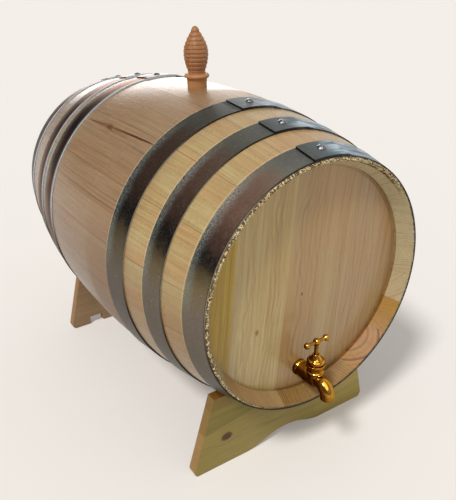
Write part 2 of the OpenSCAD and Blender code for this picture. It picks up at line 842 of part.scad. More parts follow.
// Distance from the barrel's middle to the inner face of each board, at its shoulders
front_board_in = half_len - front_board_at - board_t / 2;
rear_board_in = half_len - rear_board_at - board_t / 2;
// How far back the leaning front board stands at a height, compared with its shoulders
function lean_back(up) = (shoulder_h - up) * tan(front_lean);
// Under the barrel the leaning board meets a slightly wider place than at its shoulders
front_cradle_u = front_board_in - lean_back(axis_h - outer_r(front_board_in));
// The leaning board is drawn this much longer and cut off at the floor
lean_spare = shoulder_h * (1 - cos(front_lean)) + board_t * sin(front_lean);

// Leans its children back about the top edge of the front board's outer face
module lean() {
    top_y = mid_y - front_board_in - board_t;
    translate([0, top_y, shoulder_h]) rotate([front_lean, 0, 0])
        translate([0, -top_y, -shoulder_h]) children();
}

// Stands an outline up as a board that runs back from y
module upright(y) {
    translate([0, y + board_t, 0]) rotate([90, 0, 0]) linear_extrude(board_t) children();
}

// Round bed for the barrel, cut through the board whose front face is near y
cut_run = 3 * board_t;
module cradle_cut(y, u) {
    translate([0, y - board_t, axis_h]) rotate([-90, 0, 0])
        cylinder(r = outer_r(u) + cradle_fit, h = cut_run, $fn = slice_fn);
}

// Shallow step along the bed's back edge that leaves room for the quarter hoop
hoop_room = 0.8;
module hoop_step() {
    edge_u = front_quarter_u[1];
    translate([0, mid_y - edge_u - hoop_room, axis_h]) rotate([-90, 0, 0])
        cylinder(r = outer_r(edge_u) + hoop_fit + hoop_t + hoop_room, h = cut_run,
                 $fn = slice_fn);
}

module front_cradle() {
    y = mid_y - front_board_in - board_t;
    color("darkkhaki")
    difference() {
        lean() upright(y) translate([0, -lean_spare]) difference() {
            board_outline();
            arch_outline();
        }
        cradle_cut(y, front_cradle_u);
        hoop_step();
        translate([-foot_half, y - board_t, -shoulder_h])
            cube([2 * foot_half, cut_run, shoulder_h]);
        stretcher_dowel_set(dowel_fit);
    }
}

module rear_cradle() {
    y = mid_y + rear_board_in;
    color("darkkhaki")
    difference() {
        upright(y) difference() {
            board_outline();
            notch_outline();
        }
        cradle_cut(y, rear_board_in);
        stretcher_dowel_set(dowel_fit);
    }
}

// The stretcher's front end is cut to the leaning face of the front board
module stretcher() {
    color("burlywood")
    difference() {
        translate([-stretcher_w / 2, mid_y - front_board_in, stretcher_up])
            cube([stretcher_w, front_board_in + rear_board_in, stretcher_t]);
        lean() translate([-foot_half, mid_y - front_board_in - board_t, 0])
            cube([2 * foot_half, board_t, shoulder_h]);
        stretcher_dowel_set(dowel_fit);
    }
}

// Two blind dowels at each end of the stretcher
module stretcher_dowel_set(fit) {
    up = stretcher_up + stretcher_t / 2;
    front_y = mid_y - front_board_in + lean_back(up) - dowel_in + dowel_len / 2;
    rear_y = mid_y + rear_board_in + dowel_in - dowel_len / 2;
    for (x = [-1, 1], y = [front_y, rear_y])
        translate([x * stretcher_w / 4, y, up]) rotate([90, 0, 0])
            cylinder(d = dowel_d + 2 * fit, h = dowel_len + 2 * fit, center = true,
                     $fn = round_fn);
}

module stretcher_dowels() {
    color("peru") stretcher_dowel_set(0);
}

for (i = [0:stave_count - 1])
    stave(i);
for (i = [0:3]) {
    front_head_board(i);
    rear_head_board(i);
}
front_head_dowels();
rear_head_dowels();
front_chime_hoop();
front_quarter_hoop();
front_bilge_hoop();
rear_chime_hoop();
rear_quarter_hoop();
rear_bilge_hoop();
hoop_rivets();
bung();
tap_body();
tap_bonnet();
tap_packing();
tap_spindle();
tap_handle();
tap_jumper();
tap_washer();
front_cradle();
rear_cradle();
stretcher();
stretcher_dowels();
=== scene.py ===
"""Looks of the wooden barrel dispenser: materials, fine detail, light and camera round the CAD part."""

import math
import random

import bmesh
import bpy
from mathutils import Matrix, Vector, noise


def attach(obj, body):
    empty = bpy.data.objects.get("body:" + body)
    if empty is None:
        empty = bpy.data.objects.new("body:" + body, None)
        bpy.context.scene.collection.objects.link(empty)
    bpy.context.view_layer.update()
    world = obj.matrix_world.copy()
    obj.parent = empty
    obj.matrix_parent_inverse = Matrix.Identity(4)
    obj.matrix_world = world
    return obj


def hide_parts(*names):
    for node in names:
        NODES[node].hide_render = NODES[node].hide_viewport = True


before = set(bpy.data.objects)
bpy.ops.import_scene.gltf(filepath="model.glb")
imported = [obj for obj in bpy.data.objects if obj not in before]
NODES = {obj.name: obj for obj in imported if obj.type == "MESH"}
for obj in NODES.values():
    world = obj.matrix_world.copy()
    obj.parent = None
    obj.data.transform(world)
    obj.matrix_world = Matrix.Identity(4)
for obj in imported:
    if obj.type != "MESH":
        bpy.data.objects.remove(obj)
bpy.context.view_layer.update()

# Sizes of the part that the looks need, in metres, in the row frame
MID_Y = 0.0152
AXIS_Z = 0.2045
HALF_LEN = 0.218
END_R = 0.124
BILGE_R = 0.151
STAVES = range(1, 19)
HOOP_PLACES = ("chime", "quarter", "bilge")


# Node helpers

def tint(r, g, b):
    """A colour as seen on screen, 0 to 255, as the linear RGBA that shaders use."""
    def linear(v):
        v /= 255
        return v / 12.92 if v <= 0.04045 else ((v + 0.055) / 1.055) ** 2.4
    return (linear(r), linear(g), linear(b), 1.0)


class Graph:
    """The shader of a material or a world, written as calls that make a node each and return its socket."""

    def __init__(self, owner, output):
        self.owner = owner
        owner.use_nodes = True
        self.tree = owner.node_tree
        self.tree.nodes.clear()
        self.out = self.node(output)

    def node(self, kind, **settings):
        made = self.tree.nodes.new(kind)
        for key, value in settings.items():
            setattr(made, key, value)
        return made

    def put(self, socket, value):
        if isinstance(value, bpy.types.NodeSocket):
            self.tree.links.new(value, socket)
        else:
            socket.default_value = value

    def math(self, operation, a, b=0.0, c=0.0, clamp=False):
        made = self.node("ShaderNodeMath", operation=operation, use_clamp=clamp)
        for socket, value in zip(made.inputs, (a, b, c)):
            self.put(socket, value)
        return made.outputs[0]

    def add(self, a, b):
        return self.math("ADD", a, b)

    def sub(self, a, b):
        return self.math("SUBTRACT", a, b)

    def mul(self, a, b):
        return self.math("MULTIPLY", a, b)

    def fma(self, a, b, c):
        return self.math("MULTIPLY_ADD", a, b, c)

    def absolute(self, value):
        return self.math("ABSOLUTE", value)

    def length(self, a, b):
        return self.math("SQRT", self.add(self.mul(a, a), self.mul(b, b)))

    def sway(self, value, amount, base):
        """The base moved either way by a noise, by half of amount at most."""
        return self.fma(self.sub(value, 0.5), amount, base)

    def step(self, value, low, high, to_low=0.0, to_high=1.0):
        """Smooth step of value from low to high."""
        made = self.node("ShaderNodeMapRange", interpolation_type="SMOOTHSTEP")
        for socket, v in zip(made.inputs, (value, low, high, to_low, to_high)):
            self.put(socket, v)
        return made.outputs[0]

    def window(self, value, rise, fall):
        """Rises from 0 to 1 over one range of value and falls back over another."""
        return self.mul(self.step(value, *rise), self.step(value, *fall, 1.0, 0.0))

    def vector(self, x, y, z):
        made = self.node("ShaderNodeCombineXYZ")
        for socket, value in zip(made.inputs, (x, y, z)):
            self.put(socket, value)
        return made.outputs[0]

    def split(self, vector):
        made = self.node("ShaderNodeSeparateXYZ")
        self.put(made.inputs[0], vector)
        return made.outputs

    def place(self):
        """Object coordinates x, y and z: the row frame at rest."""
        return self.split(self.node("ShaderNodeTexCoord").outputs["Object"])

    def facing(self):
        """The object-space normal's x, y and z."""
        return self.split(self.node("ShaderNodeTexCoord").outputs["Normal"])

    def noise(self, vector, scale=1.0, detail=2.0, roughness=0.5):
        made = self.node("ShaderNodeTexNoise")
        self.put(made.inputs["Vector"], vector)
        made.inputs["Scale"].default_value = scale
        made.inputs["Detail"].default_value = detail
        made.inputs["Roughness"].default_value = roughness
        return made.outputs[0]

    def cells(self, vector, scale, output="Distance"):
        made = self.node("ShaderNodeTexVoronoi")
        self.put(made.inputs["Vector"], vector)
        made.inputs["Scale"].default_value = scale
        return made.outputs[output]

    def white(self, value):
        made = self.node("ShaderNodeTexWhiteNoise", noise_dimensions="1D")
        self.put(made.inputs["W"], value)
        return made.outputs[0]

    def ramp(self, factor, stops):
        made = self.node("ShaderNodeValToRGB")
        self.put(made.inputs[0], factor)
        elements = made.color_ramp.elements
        while len(elements) < len(stops):
            elements.new(0.5)
        for element, (at, colour) in zip(elements, stops):
            element.position = at
            element.color = colour
        return made.outputs[0]

    def mix(self, factor, a, b, blend="MIX"):
        made = self.node("ShaderNodeMix", data_type="RGBA", blend_type=blend)
        self.put(made.inputs[0], factor)
        self.put(made.inputs[6], a)
        self.put(made.inputs[7], b)
        return made.outputs[2]

    def bump(self, height, distance, strength, normal=None):
        made = self.node("ShaderNodeBump")
        made.inputs["Strength"].default_value = strength
        made.inputs["Distance"].default_value = distance
        self.put(made.inputs["Height"], height)
        if normal is not None:
            self.put(made.inputs["Normal"], normal)
        return made.outputs[0]

    def light_paths(self):
        return self.node("ShaderNodeLightPath").outputs

    def blend_shaders(self, factor, a, b):
        made = self.node("ShaderNodeMixShader")
        for socket, value in zip(made.inputs, (factor, a, b)):
            self.put(socket, value)
        return made.outputs[0]

    def principled(self, colour, roughness, normal=None, **constants):
        """A Principled shader. Numbers are set on its own sockets."""
        made = self.node("ShaderNodeBsdfPrincipled")
        self.put(made.inputs["Base Color"], colour)
        self.put(made.inputs["Roughness"], roughness)
        if normal is not None:
            self.put(made.inputs["Normal"], normal)
        for key, value in constants.items():
            self.put(made.inputs[key.replace("_", " ").title().replace("Ior", "IOR")], value)
        return made.outputs[0]

    def finish(self, shader):
        """Ends the graph in a shader and gives its material or world."""
        self.put(self.out.inputs["Surface"], shader)
        return self.owner


def new_material(name):
    return Graph(bpy.data.materials.new(name), "ShaderNodeOutputMaterial")


def wear(node_name, material):
    """Gives a CAD node one material."""
    materials = NODES[node_name].data.materials
    materials.clear()
    materials.append(material)


# Wood

# Scales of the grain's noises, per metre, across the board and along it
WANDER_SCALE = 12.0
BAND_SCALES = (190.0, 4.0)
FIBRE_SCALES = (430.0, 7.0)
HAIR_SCALES = (2100.0, 75.0)
DASH_SCALES = (640.0, 150.0)
MOTTLE_SCALES = (22.0, 7.0)
THREAD_SCALES = (1050.0, 22.0)
SAWN_SCALES = (70.0, 800.0)
KNOT_SCALES = (900.0, 260.0)
# Where in a year ring the dark late wood rises and falls, as shares of the ring
LATE_WOOD = ((0.35, 0.84), (0.90, 1.0))
# How dark plain wood is between its light and its dark tone
BASE_MARK = 0.22
# How fast the year rings close up again away from a knot
KNOT_FALL = -0.35


def wood_grain(g, across, depth, along, look):
    """Solid wood: year rings round a heart line that runs along the board, fibres, dashes and pores.
    Gives the colour, the height for the bump and the late wood of the rings."""
    seed = look["seed"]

    def streaks(scales, start=seed, detail=2.0, roughness=0.5):
        """Noise drawn out along the grain."""
        fine, slow = scales
        place = g.vector(g.mul(across, fine), g.mul(depth, fine), g.fma(along, slow, start))
        return g.noise(place, detail=detail, roughness=roughness)

    heart_a, heart_d = look["heart"]
    reach = g.length(g.sub(across, heart_a), g.sub(depth, heart_d))
    reach = g.sway(streaks((WANDER_SCALE, look["slow"]), detail=3.0, roughness=0.55), look["wander"], reach)
    dark = 0.0
    for knot in look["knots"]:
        square, core = knot_shape(g, across, along, knot)
        reach = g.fma(g.math("EXPONENT", g.mul(square, KNOT_FALL)), knot["push"], reach)
        dark = g.math("MAXIMUM", dark, core)
    years = g.math("DIVIDE", reach, look["ring"])
    strong = g.white(g.add(g.math("FLOOR", years), seed))
    late = g.window(g.math("FRACT", years), *LATE_WOOD)
    late = g.mul(late, g.fma(g.mul(strong, strong), 0.9, 0.1))

    fibre = streaks(FIBRE_SCALES, detail=5.0, roughness=0.72)
    mark = g.sway(streaks(THREAD_SCALES), look["thread"], g.mul(late, look["late"]))
    mark = g.sway(fibre, look["fibre"], mark)
    mark = g.sway(streaks(BAND_SCALES), look["band"], mark)
    mark = g.sway(streaks(SAWN_SCALES), look["sawn"], mark)
    mark = g.math("ADD", mark, BASE_MARK, clamp=True)
    mottle = g.step(streaks(MOTTLE_SCALES, start=-seed, detail=3.0), 0.36, 0.68, 0.0, look["mottle"])
    colour = g.mix(mark, look["light"], look["dark"])
    colour = g.mix(mottle, colour, g.mix(mark, look["other"], look["dark"]))
    hairs = g.step(streaks(HAIR_SCALES), 0.62, 0.74, 0.0, look["pores"])
    dashes = g.step(streaks(DASH_SCALES, start=-seed, detail=1.0), 0.69, 0.77, 0.0, look["dashes"])
    pore = g.math("MAXIMUM", hairs, dashes)
    colour = g.mix(pore, colour, look["pore"])
    colour = g.mix(dark, colour, look["knot"])
    height = g.fma(fibre, 0.6, g.fma(late, 0.3, g.mul(pore, -0.8)))
    return colour, height, late


def knot_shape(g, across, along, knot):
    """Square of the distance from a knot in knot sizes, and its dark core."""
    at_a, at_l = knot["at"]
    size_a, size_l = knot["size"]
    turn = math.radians(knot.get("turn", 0.0))
    da, dl = g.sub(across, at_a), g.sub(along, at_l)
    ea = g.mul(g.fma(da, math.cos(turn), g.mul(dl, math.sin(turn))), 1 / size_a)
    el = g.mul(g.fma(dl, math.cos(turn), g.mul(da, -math.sin(turn))), 1 / size_l)
    square = g.add(g.mul(ea, ea), g.mul(el, el))
    fine, slow = KNOT_SCALES
    rough = g.noise(g.vector(g.mul(across, fine), 0.0, g.mul(along, slow)), detail=4.0, roughness=0.7)
    core = g.step(g.sway(rough, 2.2, square), 0.45, 1.5, knot["depth"], 0.0)
    return square, core


# The wood of the strips between the front hoops; other looks change some of it. Late, fibre, band, thread
# and sawn say how strongly each darkens the wood, mottle how much of the other tone there is, pores and
# dashes how dark those are, wander and slow how far and how fast the rings wander, and arcs how dark the
# rings are on the end grain
STAVE_LOOK = {
    "light": tint(181, 162, 114), "dark": tint(138, 106, 64), "other": tint(182, 139, 90),
    "pore": tint(124, 82, 50), "knot": tint(68, 40, 22), "end": tint(140, 100, 50), "knots": (),
    "late": 0.32, "fibre": 1.1, "band": 0.7, "thread": 1.1, "sawn": 0.45, "mottle": 0.8, "pores": 0.3,
    "dashes": 0.5, "wander": 0.006, "slow": 2.4, "arcs": 0.6,
}
# The wide middle of the barrel is pinker than the wood between the hoops
MIDDLE_TONES = {"light": tint(154, 126, 94), "dark": tint(112, 82, 54), "other": tint(150, 116, 82)}
# Between the rear hoops it has gone grey
REAR_TONES = {"light": tint(156, 136, 116), "dark": tint(114, 92, 74), "other": tint(160, 130, 104)}
# How far from the middle of the barrel those tones change, and where a stave's own tones end
MIDDLE_END = (0.085, 0.125)
OWN_END = (-0.20, -0.17)

# Looks of the staves that differ from the common one, by stave number
OWN_LOOKS = {
    7: {"light": tint(168, 130, 48), "dark": tint(128, 92, 34), "other": tint(156, 116, 40)},
    8: {"light": tint(162, 124, 54), "dark": tint(126, 88, 32), "other": tint(150, 108, 38)},
    9: {"light": tint(168, 118, 60), "dark": tint(106, 58, 22), "other": tint(164, 108, 46), "late": 1.2,
        "ring": 0.0040, "heart": (0.004, 0.040), "fibre": 0.5, "arcs": 2.2},
    10: {"light": tint(162, 126, 72), "dark": tint(108, 72, 32), "other": tint(156, 116, 60), "late": 1.1,
         "arcs": 1.4},
    11: {"light": tint(158, 126, 72), "dark": tint(104, 70, 30), "other": tint(150, 112, 56), "late": 1.1,
         "arcs": 1.2},
}
# Tone of the bevel's end grain, and those that differ from it by stave number
END_TONE = tint(188, 184, 154)
OWN_END_TONES = {
    7: tint(172, 126, 4), 8: tint(160, 108, 2), 9: tint(168, 130, 52), 10: tint(160, 126, 60),
    11: tint(158, 124, 62), 12: tint(174, 134, 84), 13: tint(174, 134, 84),
}
# Staves whose end grain shows more of their own wood, and how much of the tone they and the others take
CLEAR_ENDS = (9, 10, 11)
CLEAR_SHARE = 0.4
END_SHARE = 0.6
FLAT_SHADE = tint(222, 220, 212)
ARC_SHADE = tint(112, 72, 36)
SPECK_SHADE = tint(110, 86, 56)
SPECK_SCALE = 900.0

# Painted highlight: a pale line on the wood just behind the rear edges of the front hoops
PALE_HIGHLIGHT_LINES = [max(v.co.y for v in NODES[f"front_{name}_hoop"].data.vertices) + 0.0027
              for name in HOOP_PLACES]
PALE_HIGHLIGHT = tint(214, 202, 172)

# Dark marks in the grain of two staves: a knot with a long streak, and a faint long check
STAVE_MARKS = {
    17: [{"at": (-0.0164, 0.0250), "size": (0.0026, 0.007), "push": 0.004, "depth": 1.0},
         {"at": (-0.0187, -0.020), "size": (0.0012, 0.048), "push": 0.001, "turn": -2.4, "depth": 1.0},
         {"at": (-0.0156, 0.048), "size": (0.0012, 0.030), "push": 0.001, "turn": -2.0, "depth": 0.75},
         {"at": (-0.0140, 0.022), "size": (0.0006, 0.014), "push": 0.001, "turn": 6.0, "depth": 0.7},
         {"at": (-0.0186, 0.034), "size": (0.0006, 0.012), "push": 0.001, "turn": -9.0, "depth": 0.6}],
    16: [{"at": (-0.0045, -0.004), "size": (0.0008, 0.085), "push": 0.001, "depth": 0.5}],
}
# Soft stains round those marks
STAVE_STAINS = {
    17: [{"at": (-0.0166, 0.024), "size": (0.0040, 0.040), "depth": 0.4, "colour": tint(126, 84, 48)}],
    16: [{"at": (-0.0040, 0.004), "size": (0.0022, 0.070), "depth": 0.3, "colour": tint(136, 96, 62)}],
}
# Hairline joints between the staves, measured at this radius
JOINT_SHADE = tint(96, 66, 42)
JOINT_R = 0.15
JOINT_WIDTH = 0.0008
# Painted shade: the lower half of the barrel is made a little darker and browner, below this range of heights
LOW_PAINTED_SHADE = tint(203, 188, 164)
PAINTED_SHADE_HEIGHTS = (0.17, 0.28)
# The wood is duller just in front of the bung: distances from the middle of the barrel
DULL_STRETCH = ((-0.09, -0.07), (-0.040, -0.022))


def stave_look(g, number, u):
    """The grain of one stave, with tones that change along the barrel."""
    rng = random.Random(100 + number)
    look = dict(STAVE_LOOK, seed=rng.uniform(0, 90))
    look["heart"] = (rng.choice((-1, 1)) * rng.uniform(0.05, 0.16), rng.uniform(0.03, 0.09))
    look["ring"] = rng.uniform(0.0020, 0.0032)
    look.update(OWN_LOOKS.get(number, {}))
    look["knots"] = STAVE_MARKS.get(number, ())
    middle = g.step(g.absolute(u), *MIDDLE_END, 1.0, 0.0)
    rear = g.step(u, *MIDDLE_END)
    own = g.step(u, *OWN_END, 1.0, 0.0)
    for tone in ("light", "dark", "other"):
        common = g.mix(rear, g.mix(middle, STAVE_LOOK[tone], MIDDLE_TONES[tone]), REAR_TONES[tone])
        look[tone] = g.mix(own, common, look[tone])
    return look


def end_grain(g, number, colour, late, end, arcs):
    """The bevels' end grain is duller and a little darker than the wood, with arcs and specks in it."""
    share = CLEAR_SHARE if number in CLEAR_ENDS else END_SHARE
    colour = g.mix(g.mul(end, share), colour, OWN_END_TONES.get(number, END_TONE))
    # the flat ring outside the bevel is as dull as the bevel
    flat = g.step(g.facing()[1], -0.97, -0.9, 0.8, 0.0)
    colour = g.mix(flat, colour, FLAT_SHADE, blend="MULTIPLY")
    colour = g.mix(g.mul(g.mul(late, end), arcs), colour, ARC_SHADE)
    speck = g.noise(g.vector(*g.place()), SPECK_SCALE)
    return g.mix(g.mul(g.step(speck, 0.60, 0.72), g.mul(end, 0.35)), colour, SPECK_SHADE)


def stave_material(number, angle, half_angle):
    """A stave's wood in its own coordinates: across its width, in from its outer face and along."""
    g = new_material(f"wood_stave_{number:02d}")
    x, y, z = g.place()
    up = g.sub(z, AXIS_Z)
    ca, sa = math.cos(angle), math.sin(angle)
    across = g.fma(up, ca, g.mul(x, -sa))
    outward = g.fma(up, sa, g.mul(x, ca))
    u = g.sub(y, MID_Y)
    bow = g.mul(g.mul(u, u), -(BILGE_R - END_R) / HALF_LEN ** 2)
    depth = g.sub(g.add(bow, BILGE_R), g.length(x, up))
    look = stave_look(g, number, u)
    colour, height, late = wood_grain(g, across, depth, y, look)
    # painted highlight along the rear edges of the front hoops
    for edge_y in PALE_HIGHLIGHT_LINES:
        line = g.step(g.absolute(g.sub(y, edge_y)), 0.0002, 0.0008, 0.35, 0.0)
        colour = g.mix(line, colour, PALE_HIGHLIGHT)
    for stain in STAVE_STAINS.get(number, ()):
        spot = knot_shape(g, across, y, stain)[1]
        colour = g.mix(spot, colour, stain["colour"])
    off = g.absolute(g.math("ARCTAN2", across, outward))
    edge = g.step(g.mul(g.sub(half_angle, off), JOINT_R), 0.0, JOINT_WIDTH, 0.55, 0.0)
    colour = g.mix(edge, colour, JOINT_SHADE)
    end = g.step(g.absolute(g.facing()[1]), 0.35, 0.5)
    colour = end_grain(g, number, colour, late, end, look["arcs"])
    # painted shade: the lower half of the barrel darker and browner, but not its end grain
    low = g.mul(g.step(z, *PAINTED_SHADE_HEIGHTS, 1.0, 0.0), g.sub(1.0, end))
    colour = g.mix(g.mul(low, 0.9), colour, LOW_PAINTED_SHADE, blend="MULTIPLY")
    dull = g.mul(g.window(u, *DULL_STRETCH), 0.14)
    rough = g.add(dull, g.fma(end, 0.4, g.fma(height, 0.16, 0.23)))
    return g.finish(g.principled(colour, rough, g.bump(height, 0.0003, 0.6)))


def dress_staves():
    for number in STAVES:
        name = f"stave_{number:02d}"
        directions = [math.atan2(v.co.z - AXIS_Z, v.co.x) for v in NODES[name].data.vertices]
        mean = math.atan2(sum(map(math.sin, directions)), sum(map(math.cos, directions)))
        offsets = [math.remainder(d - mean, math.tau) for d in directions]
        low, high = min(offsets), max(offsets)
        wear(name, stave_material(number, mean + (low + high) / 2, (high - low) / 2))


# How far the head boards lean from upright
HEAD_LEAN = math.radians(6)
# The dark line where the boards enter the groove in the staves
CROZE_LINE_R = 0.1122
CROZE_SHADE = tint(118, 82, 54)
HEAD_GRAIN = {"mottle": 0.6, "pores": 0.2, "wander": 0.022, "slow": 7.0, "band": 1.0, "dashes": 0.3,
              "sawn": 0.2, "thread": 0.8}
HEAD_LOOKS = [
    {"light": tint(184, 150, 8), "dark": tint(128, 94, 4), "other": tint(166, 128, 4), "late": 0.6},
    {"light": tint(184, 164, 112), "dark": tint(146, 110, 58), "other": tint(176, 146, 84), "late": 0.36,
     "knots": [{"at": (-0.0536, -0.0410), "size": (0.0018, 0.0028), "push": 0.008, "depth": 0.75}],
     "knot": tint(112, 66, 30)},
    {"light": tint(170, 146, 100), "dark": tint(136, 98, 54), "other": tint(172, 132, 80), "late": 0.36,
     "knots": [{"at": (-0.0041, -0.0120), "size": (0.0012, 0.0022), "push": 0.004, "depth": 0.8}],
     "knot": tint(100, 60, 32)},
    {"light": tint(168, 142, 100), "dark": tint(132, 94, 56), "other": tint(168, 130, 82), "late": 0.36},
]


def head_material(name, look, seed, side):
    """A head board's upright grain; side is -1 on the front head and 1 on the rear."""
    g = new_material(name)
    x, y, z = g.place()
    up = g.sub(z, AXIS_Z)
    lean = HEAD_LEAN * side
    across = g.fma(x, math.cos(lean), g.mul(up, math.sin(lean)))
    along = g.fma(up, math.cos(lean), g.mul(x, -math.sin(lean)))
    depth = g.mul(g.sub(y, MID_Y), -side)
    rng = random.Random(seed)
    full = {**STAVE_LOOK, **HEAD_GRAIN, **look}
    full["seed"] = rng.uniform(0, 90)
    full["heart"] = (rng.choice((-1, 1)) * rng.uniform(0.09, 0.2), 0.06)
    full["ring"] = rng.uniform(0.0018, 0.0027)
    colour, height, _ = wood_grain(g, across, depth, along, full)
    rough_edge = g.noise(g.vector(x, 0.0, z), scale=70.0, detail=3.0)
    off_line = g.absolute(g.sub(g.sway(rough_edge, 0.002, g.length(x, up)), CROZE_LINE_R))
    drawn = g.mul(g.step(off_line, 0.0003, 0.0010, 0.45, 0.0), g.step(x, 0.01, 0.05))
    colour = g.mix(drawn, colour, CROZE_SHADE)
    rough = g.fma(height, 0.12, 0.32)
    normal = g.bump(height, 0.0003, 0.5)
    return g.finish(g.principled(colour, rough, normal, coat_weight=0.4, coat_roughness=0.14))


def dress_heads():
    for side, end in ((-1, "front"), (1, "rear")):
        for i, look in enumerate(HEAD_LOOKS):
            material = head_material(f"wood_{end}_head_{i + 1}", look, 40 + 9 * i + side, side)
            wear(f"{end}_head_board_{i + 1}", material)


def plain_wood_material(name, axis, look, finish=None):
    """Board with its grain along one axis of the row frame; the others are across and depth.
    finish changes the colour by place and by facing."""
    g = new_material(name)
    place = g.place()
    faces = g.facing()
    depth, across = [place[i] for i in range(3) if i != axis]
    full = {**STAVE_LOOK, **look}
    colour, height, _ = wood_grain(g, across, depth, place[axis], full)
    end = g.step(g.absolute(faces[axis]), 0.5, 0.8)
    colour = g.mix(g.mul(end, 0.5), colour, full["end"])
    if finish:
        colour = finish(g, place, faces, colour)
    rough = g.fma(height, 0.15, 0.48)
    return g.finish(g.principled(colour, rough, g.bump(height, 0.0004, 0.7)))


BOARD_TOP = tint(124, 70, 26)
# The front board carries painted light and shade: a painted shadow of the barrel makes it olive above a line
# that rises to the right, it is painted lighter and beige below that line, and lighter still at its right end
BARREL_SHADOW_LINE = (0.14, 0.0644)
BARREL_SHADOW_END = (-0.025, 0.03)
LIT_RIGHT_START = (0.01, 0.09)
CORNER_END = (-0.076, -0.066)
CORNER_START = (0.074, 0.082)
PAINTED_BARREL_SHADOW = (0.86, 0.87, 0.72, 1.0)
PAINTED_LIT_BEIGE = (1.15, 1.14, 1.70, 1.0)
PAINTED_LIT_RIGHT_END = (1.48, 1.50, 1.62, 1.0)
CORNER = tint(112, 76, 20)


def board_top(g, place, faces, colour):
    """The sawn upper faces of the stand are browner."""
    return g.mix(g.step(faces[2], 0.5, 0.8, 0.0, 0.8), colour, BOARD_TOP)


def front_board_painted_light(g, place, faces, colour):
    """Painted light and shade on the front board: the barrel's painted shadow (olive) above a line, painted
    light (beige) below it and on its paler right end, and its brown upper left corner.
    """
    x, _, z = place
    colour = board_top(g, place, faces, colour)
    # painted shadow of the barrel above the line, painted light below it
    in_barrel_shadow = g.step(g.sub(z, g.fma(x, *BARREL_SHADOW_LINE)), -0.001, 0.001)
    in_barrel_shadow = g.mul(in_barrel_shadow, g.step(x, *BARREL_SHADOW_END, 1.0, 0.0))
    colour = g.mix(1.0, colour, g.mix(in_barrel_shadow, PAINTED_LIT_BEIGE, PAINTED_BARREL_SHADOW), blend="MULTIPLY")
    # painted light on the right end
    colour = g.mix(g.step(x, *LIT_RIGHT_START), colour, PAINTED_LIT_RIGHT_END, blend="MULTIPLY")
    corner = g.mul(g.step(x, *CORNER_END, 1.0, 0.0), g.step(z, *CORNER_START))
    return g.mix(g.mul(corner, 0.5), colour, CORNER)


FRONT_BOARD = {
    "light": tint(140, 125, 50), "dark": tint(110, 92, 28), "other": tint(127, 111, 32),
    "pore": tint(112, 92, 54), "end": tint(146, 94, 44), "knot": tint(72, 24, 0),
    "knots": [{"at": (0.0371, -0.0767), "size": (0.0050, 0.0066), "push": 0.012, "depth": 1.0}],
    "ring": 0.0034, "heart": (-0.02, 0.11), "late": 0.3, "seed": 11.0, "wander": 0.02, "slow": 3.0,
    "fibre": 0.7, "band": 0.6, "dashes": 0.2, "mottle": 0.8, "sawn": 0.2,
}
REAR_BOARD = dict(FRONT_BOARD, light=tint(153, 124, 88), dark=tint(116, 87, 56), other=tint(143, 113, 78),
                  seed=27.0, knots=(), fibre=1.0)
DOWEL = {"light": tint(176, 138, 96), "dark": tint(140, 100, 64), "other": tint(170, 130, 90), "seed": 5.0,
         "ring": 0.003, "heart": (0.0, 0.0)}


def dress_stand_and_dowels():
    wear("front_cradle", plain_wood_material("wood_front_cradle", 0, FRONT_BOARD, front_board_painted_light))
    wear("rear_cradle", plain_wood_material("wood_rear_cradle", 0, REAR_BOARD, board_top))
    wear("stretcher", plain_wood_material("wood_stretcher", 1, REAR_BOARD, board_top))
    for name, axis in (("stretcher_dowels", 1), ("front_head_dowels", 0), ("rear_head_dowels", 0)):
        wear(name, plain_wood_material(f"wood_{name}", axis, DOWEL))


# Metal

# Tone of a hoop round the barrel, its dark steel with painted reflections on it: brown and black zones and
# blue-grey highlights; the turn from the top in degrees, positive towards +X
HOOP_PAINTED_REFLECTIONS = [
    (-180, (84, 82, 66)), (-140, (72, 74, 58)), (-128, (74, 78, 60)), (-112, (104, 96, 82)),
    (-84, (118, 108, 96)), (-74, (104, 92, 68)), (-70, (98, 84, 60)), (-67, (64, 56, 46)),
    (-62, (48, 43, 40)), (-55, (92, 70, 60)), (-42, (122, 94, 80)), (-28, (114, 94, 80)),
    (-20, (95, 94, 86)), (-8, (98, 99, 94)), (-4.5, (88, 92, 90)), (-1, (92, 98, 98)),
    (6, (96, 108, 114)), (14, (132, 160, 178)), (24, (120, 140, 152)), (32, (84, 94, 102)),
    (50, (60, 58, 58)), (80, (104, 96, 90)), (120, (92, 84, 74)), (180, (84, 82, 66)),
]
# Painted light: how much lighter than those tones a front hoop is on its upper left, and on its lower left
HOOP_PAINTED_LIGHT_GAINS = {"front_chime_hoop": (1.24, 1.0), "front_quarter_hoop": (1.12, 0.97),
              "front_bilge_hoop": (0.95, 0.88)}
LIT_UPPER_LEFT = (-74, -10)
# Painted reflections across the rear hoops, from their front edge to their rear one: bands of blue-white sky
# and of brown
REAR_PAINTED_REFLECTIONS = [(0.0, tint(190, 208, 220)), (0.10, tint(160, 176, 186)), (0.16, tint(92, 72, 64)),
                (0.34, tint(116, 78, 62)), (0.52, tint(178, 110, 72)), (0.72, tint(186, 150, 128)),
                (0.86, tint(176, 188, 196)), (1.0, tint(150, 160, 166))]

# Stretches round a hoop, in turns from its top, positive towards +X: where each begins and where it ends
REFLECTION_BANDED = ((-0.30, -0.20), (0.0, 0.08))
DARK_PATCHED = ((-0.235, -0.19), (-0.10, -0.06))
FROSTED = ((-0.245, -0.20), (-0.10, -0.045))
BRIGHT_REFLECTED = ((0.004, 0.03), (0.07, 0.10))
DENTED = ((-0.016, -0.008), (0.02, 0.05))
FRONT_EDGE = ((-0.29, -0.22), (-0.11, -0.05))
REAR_EDGE = ((-0.29, -0.22), (0.0, 0.06))

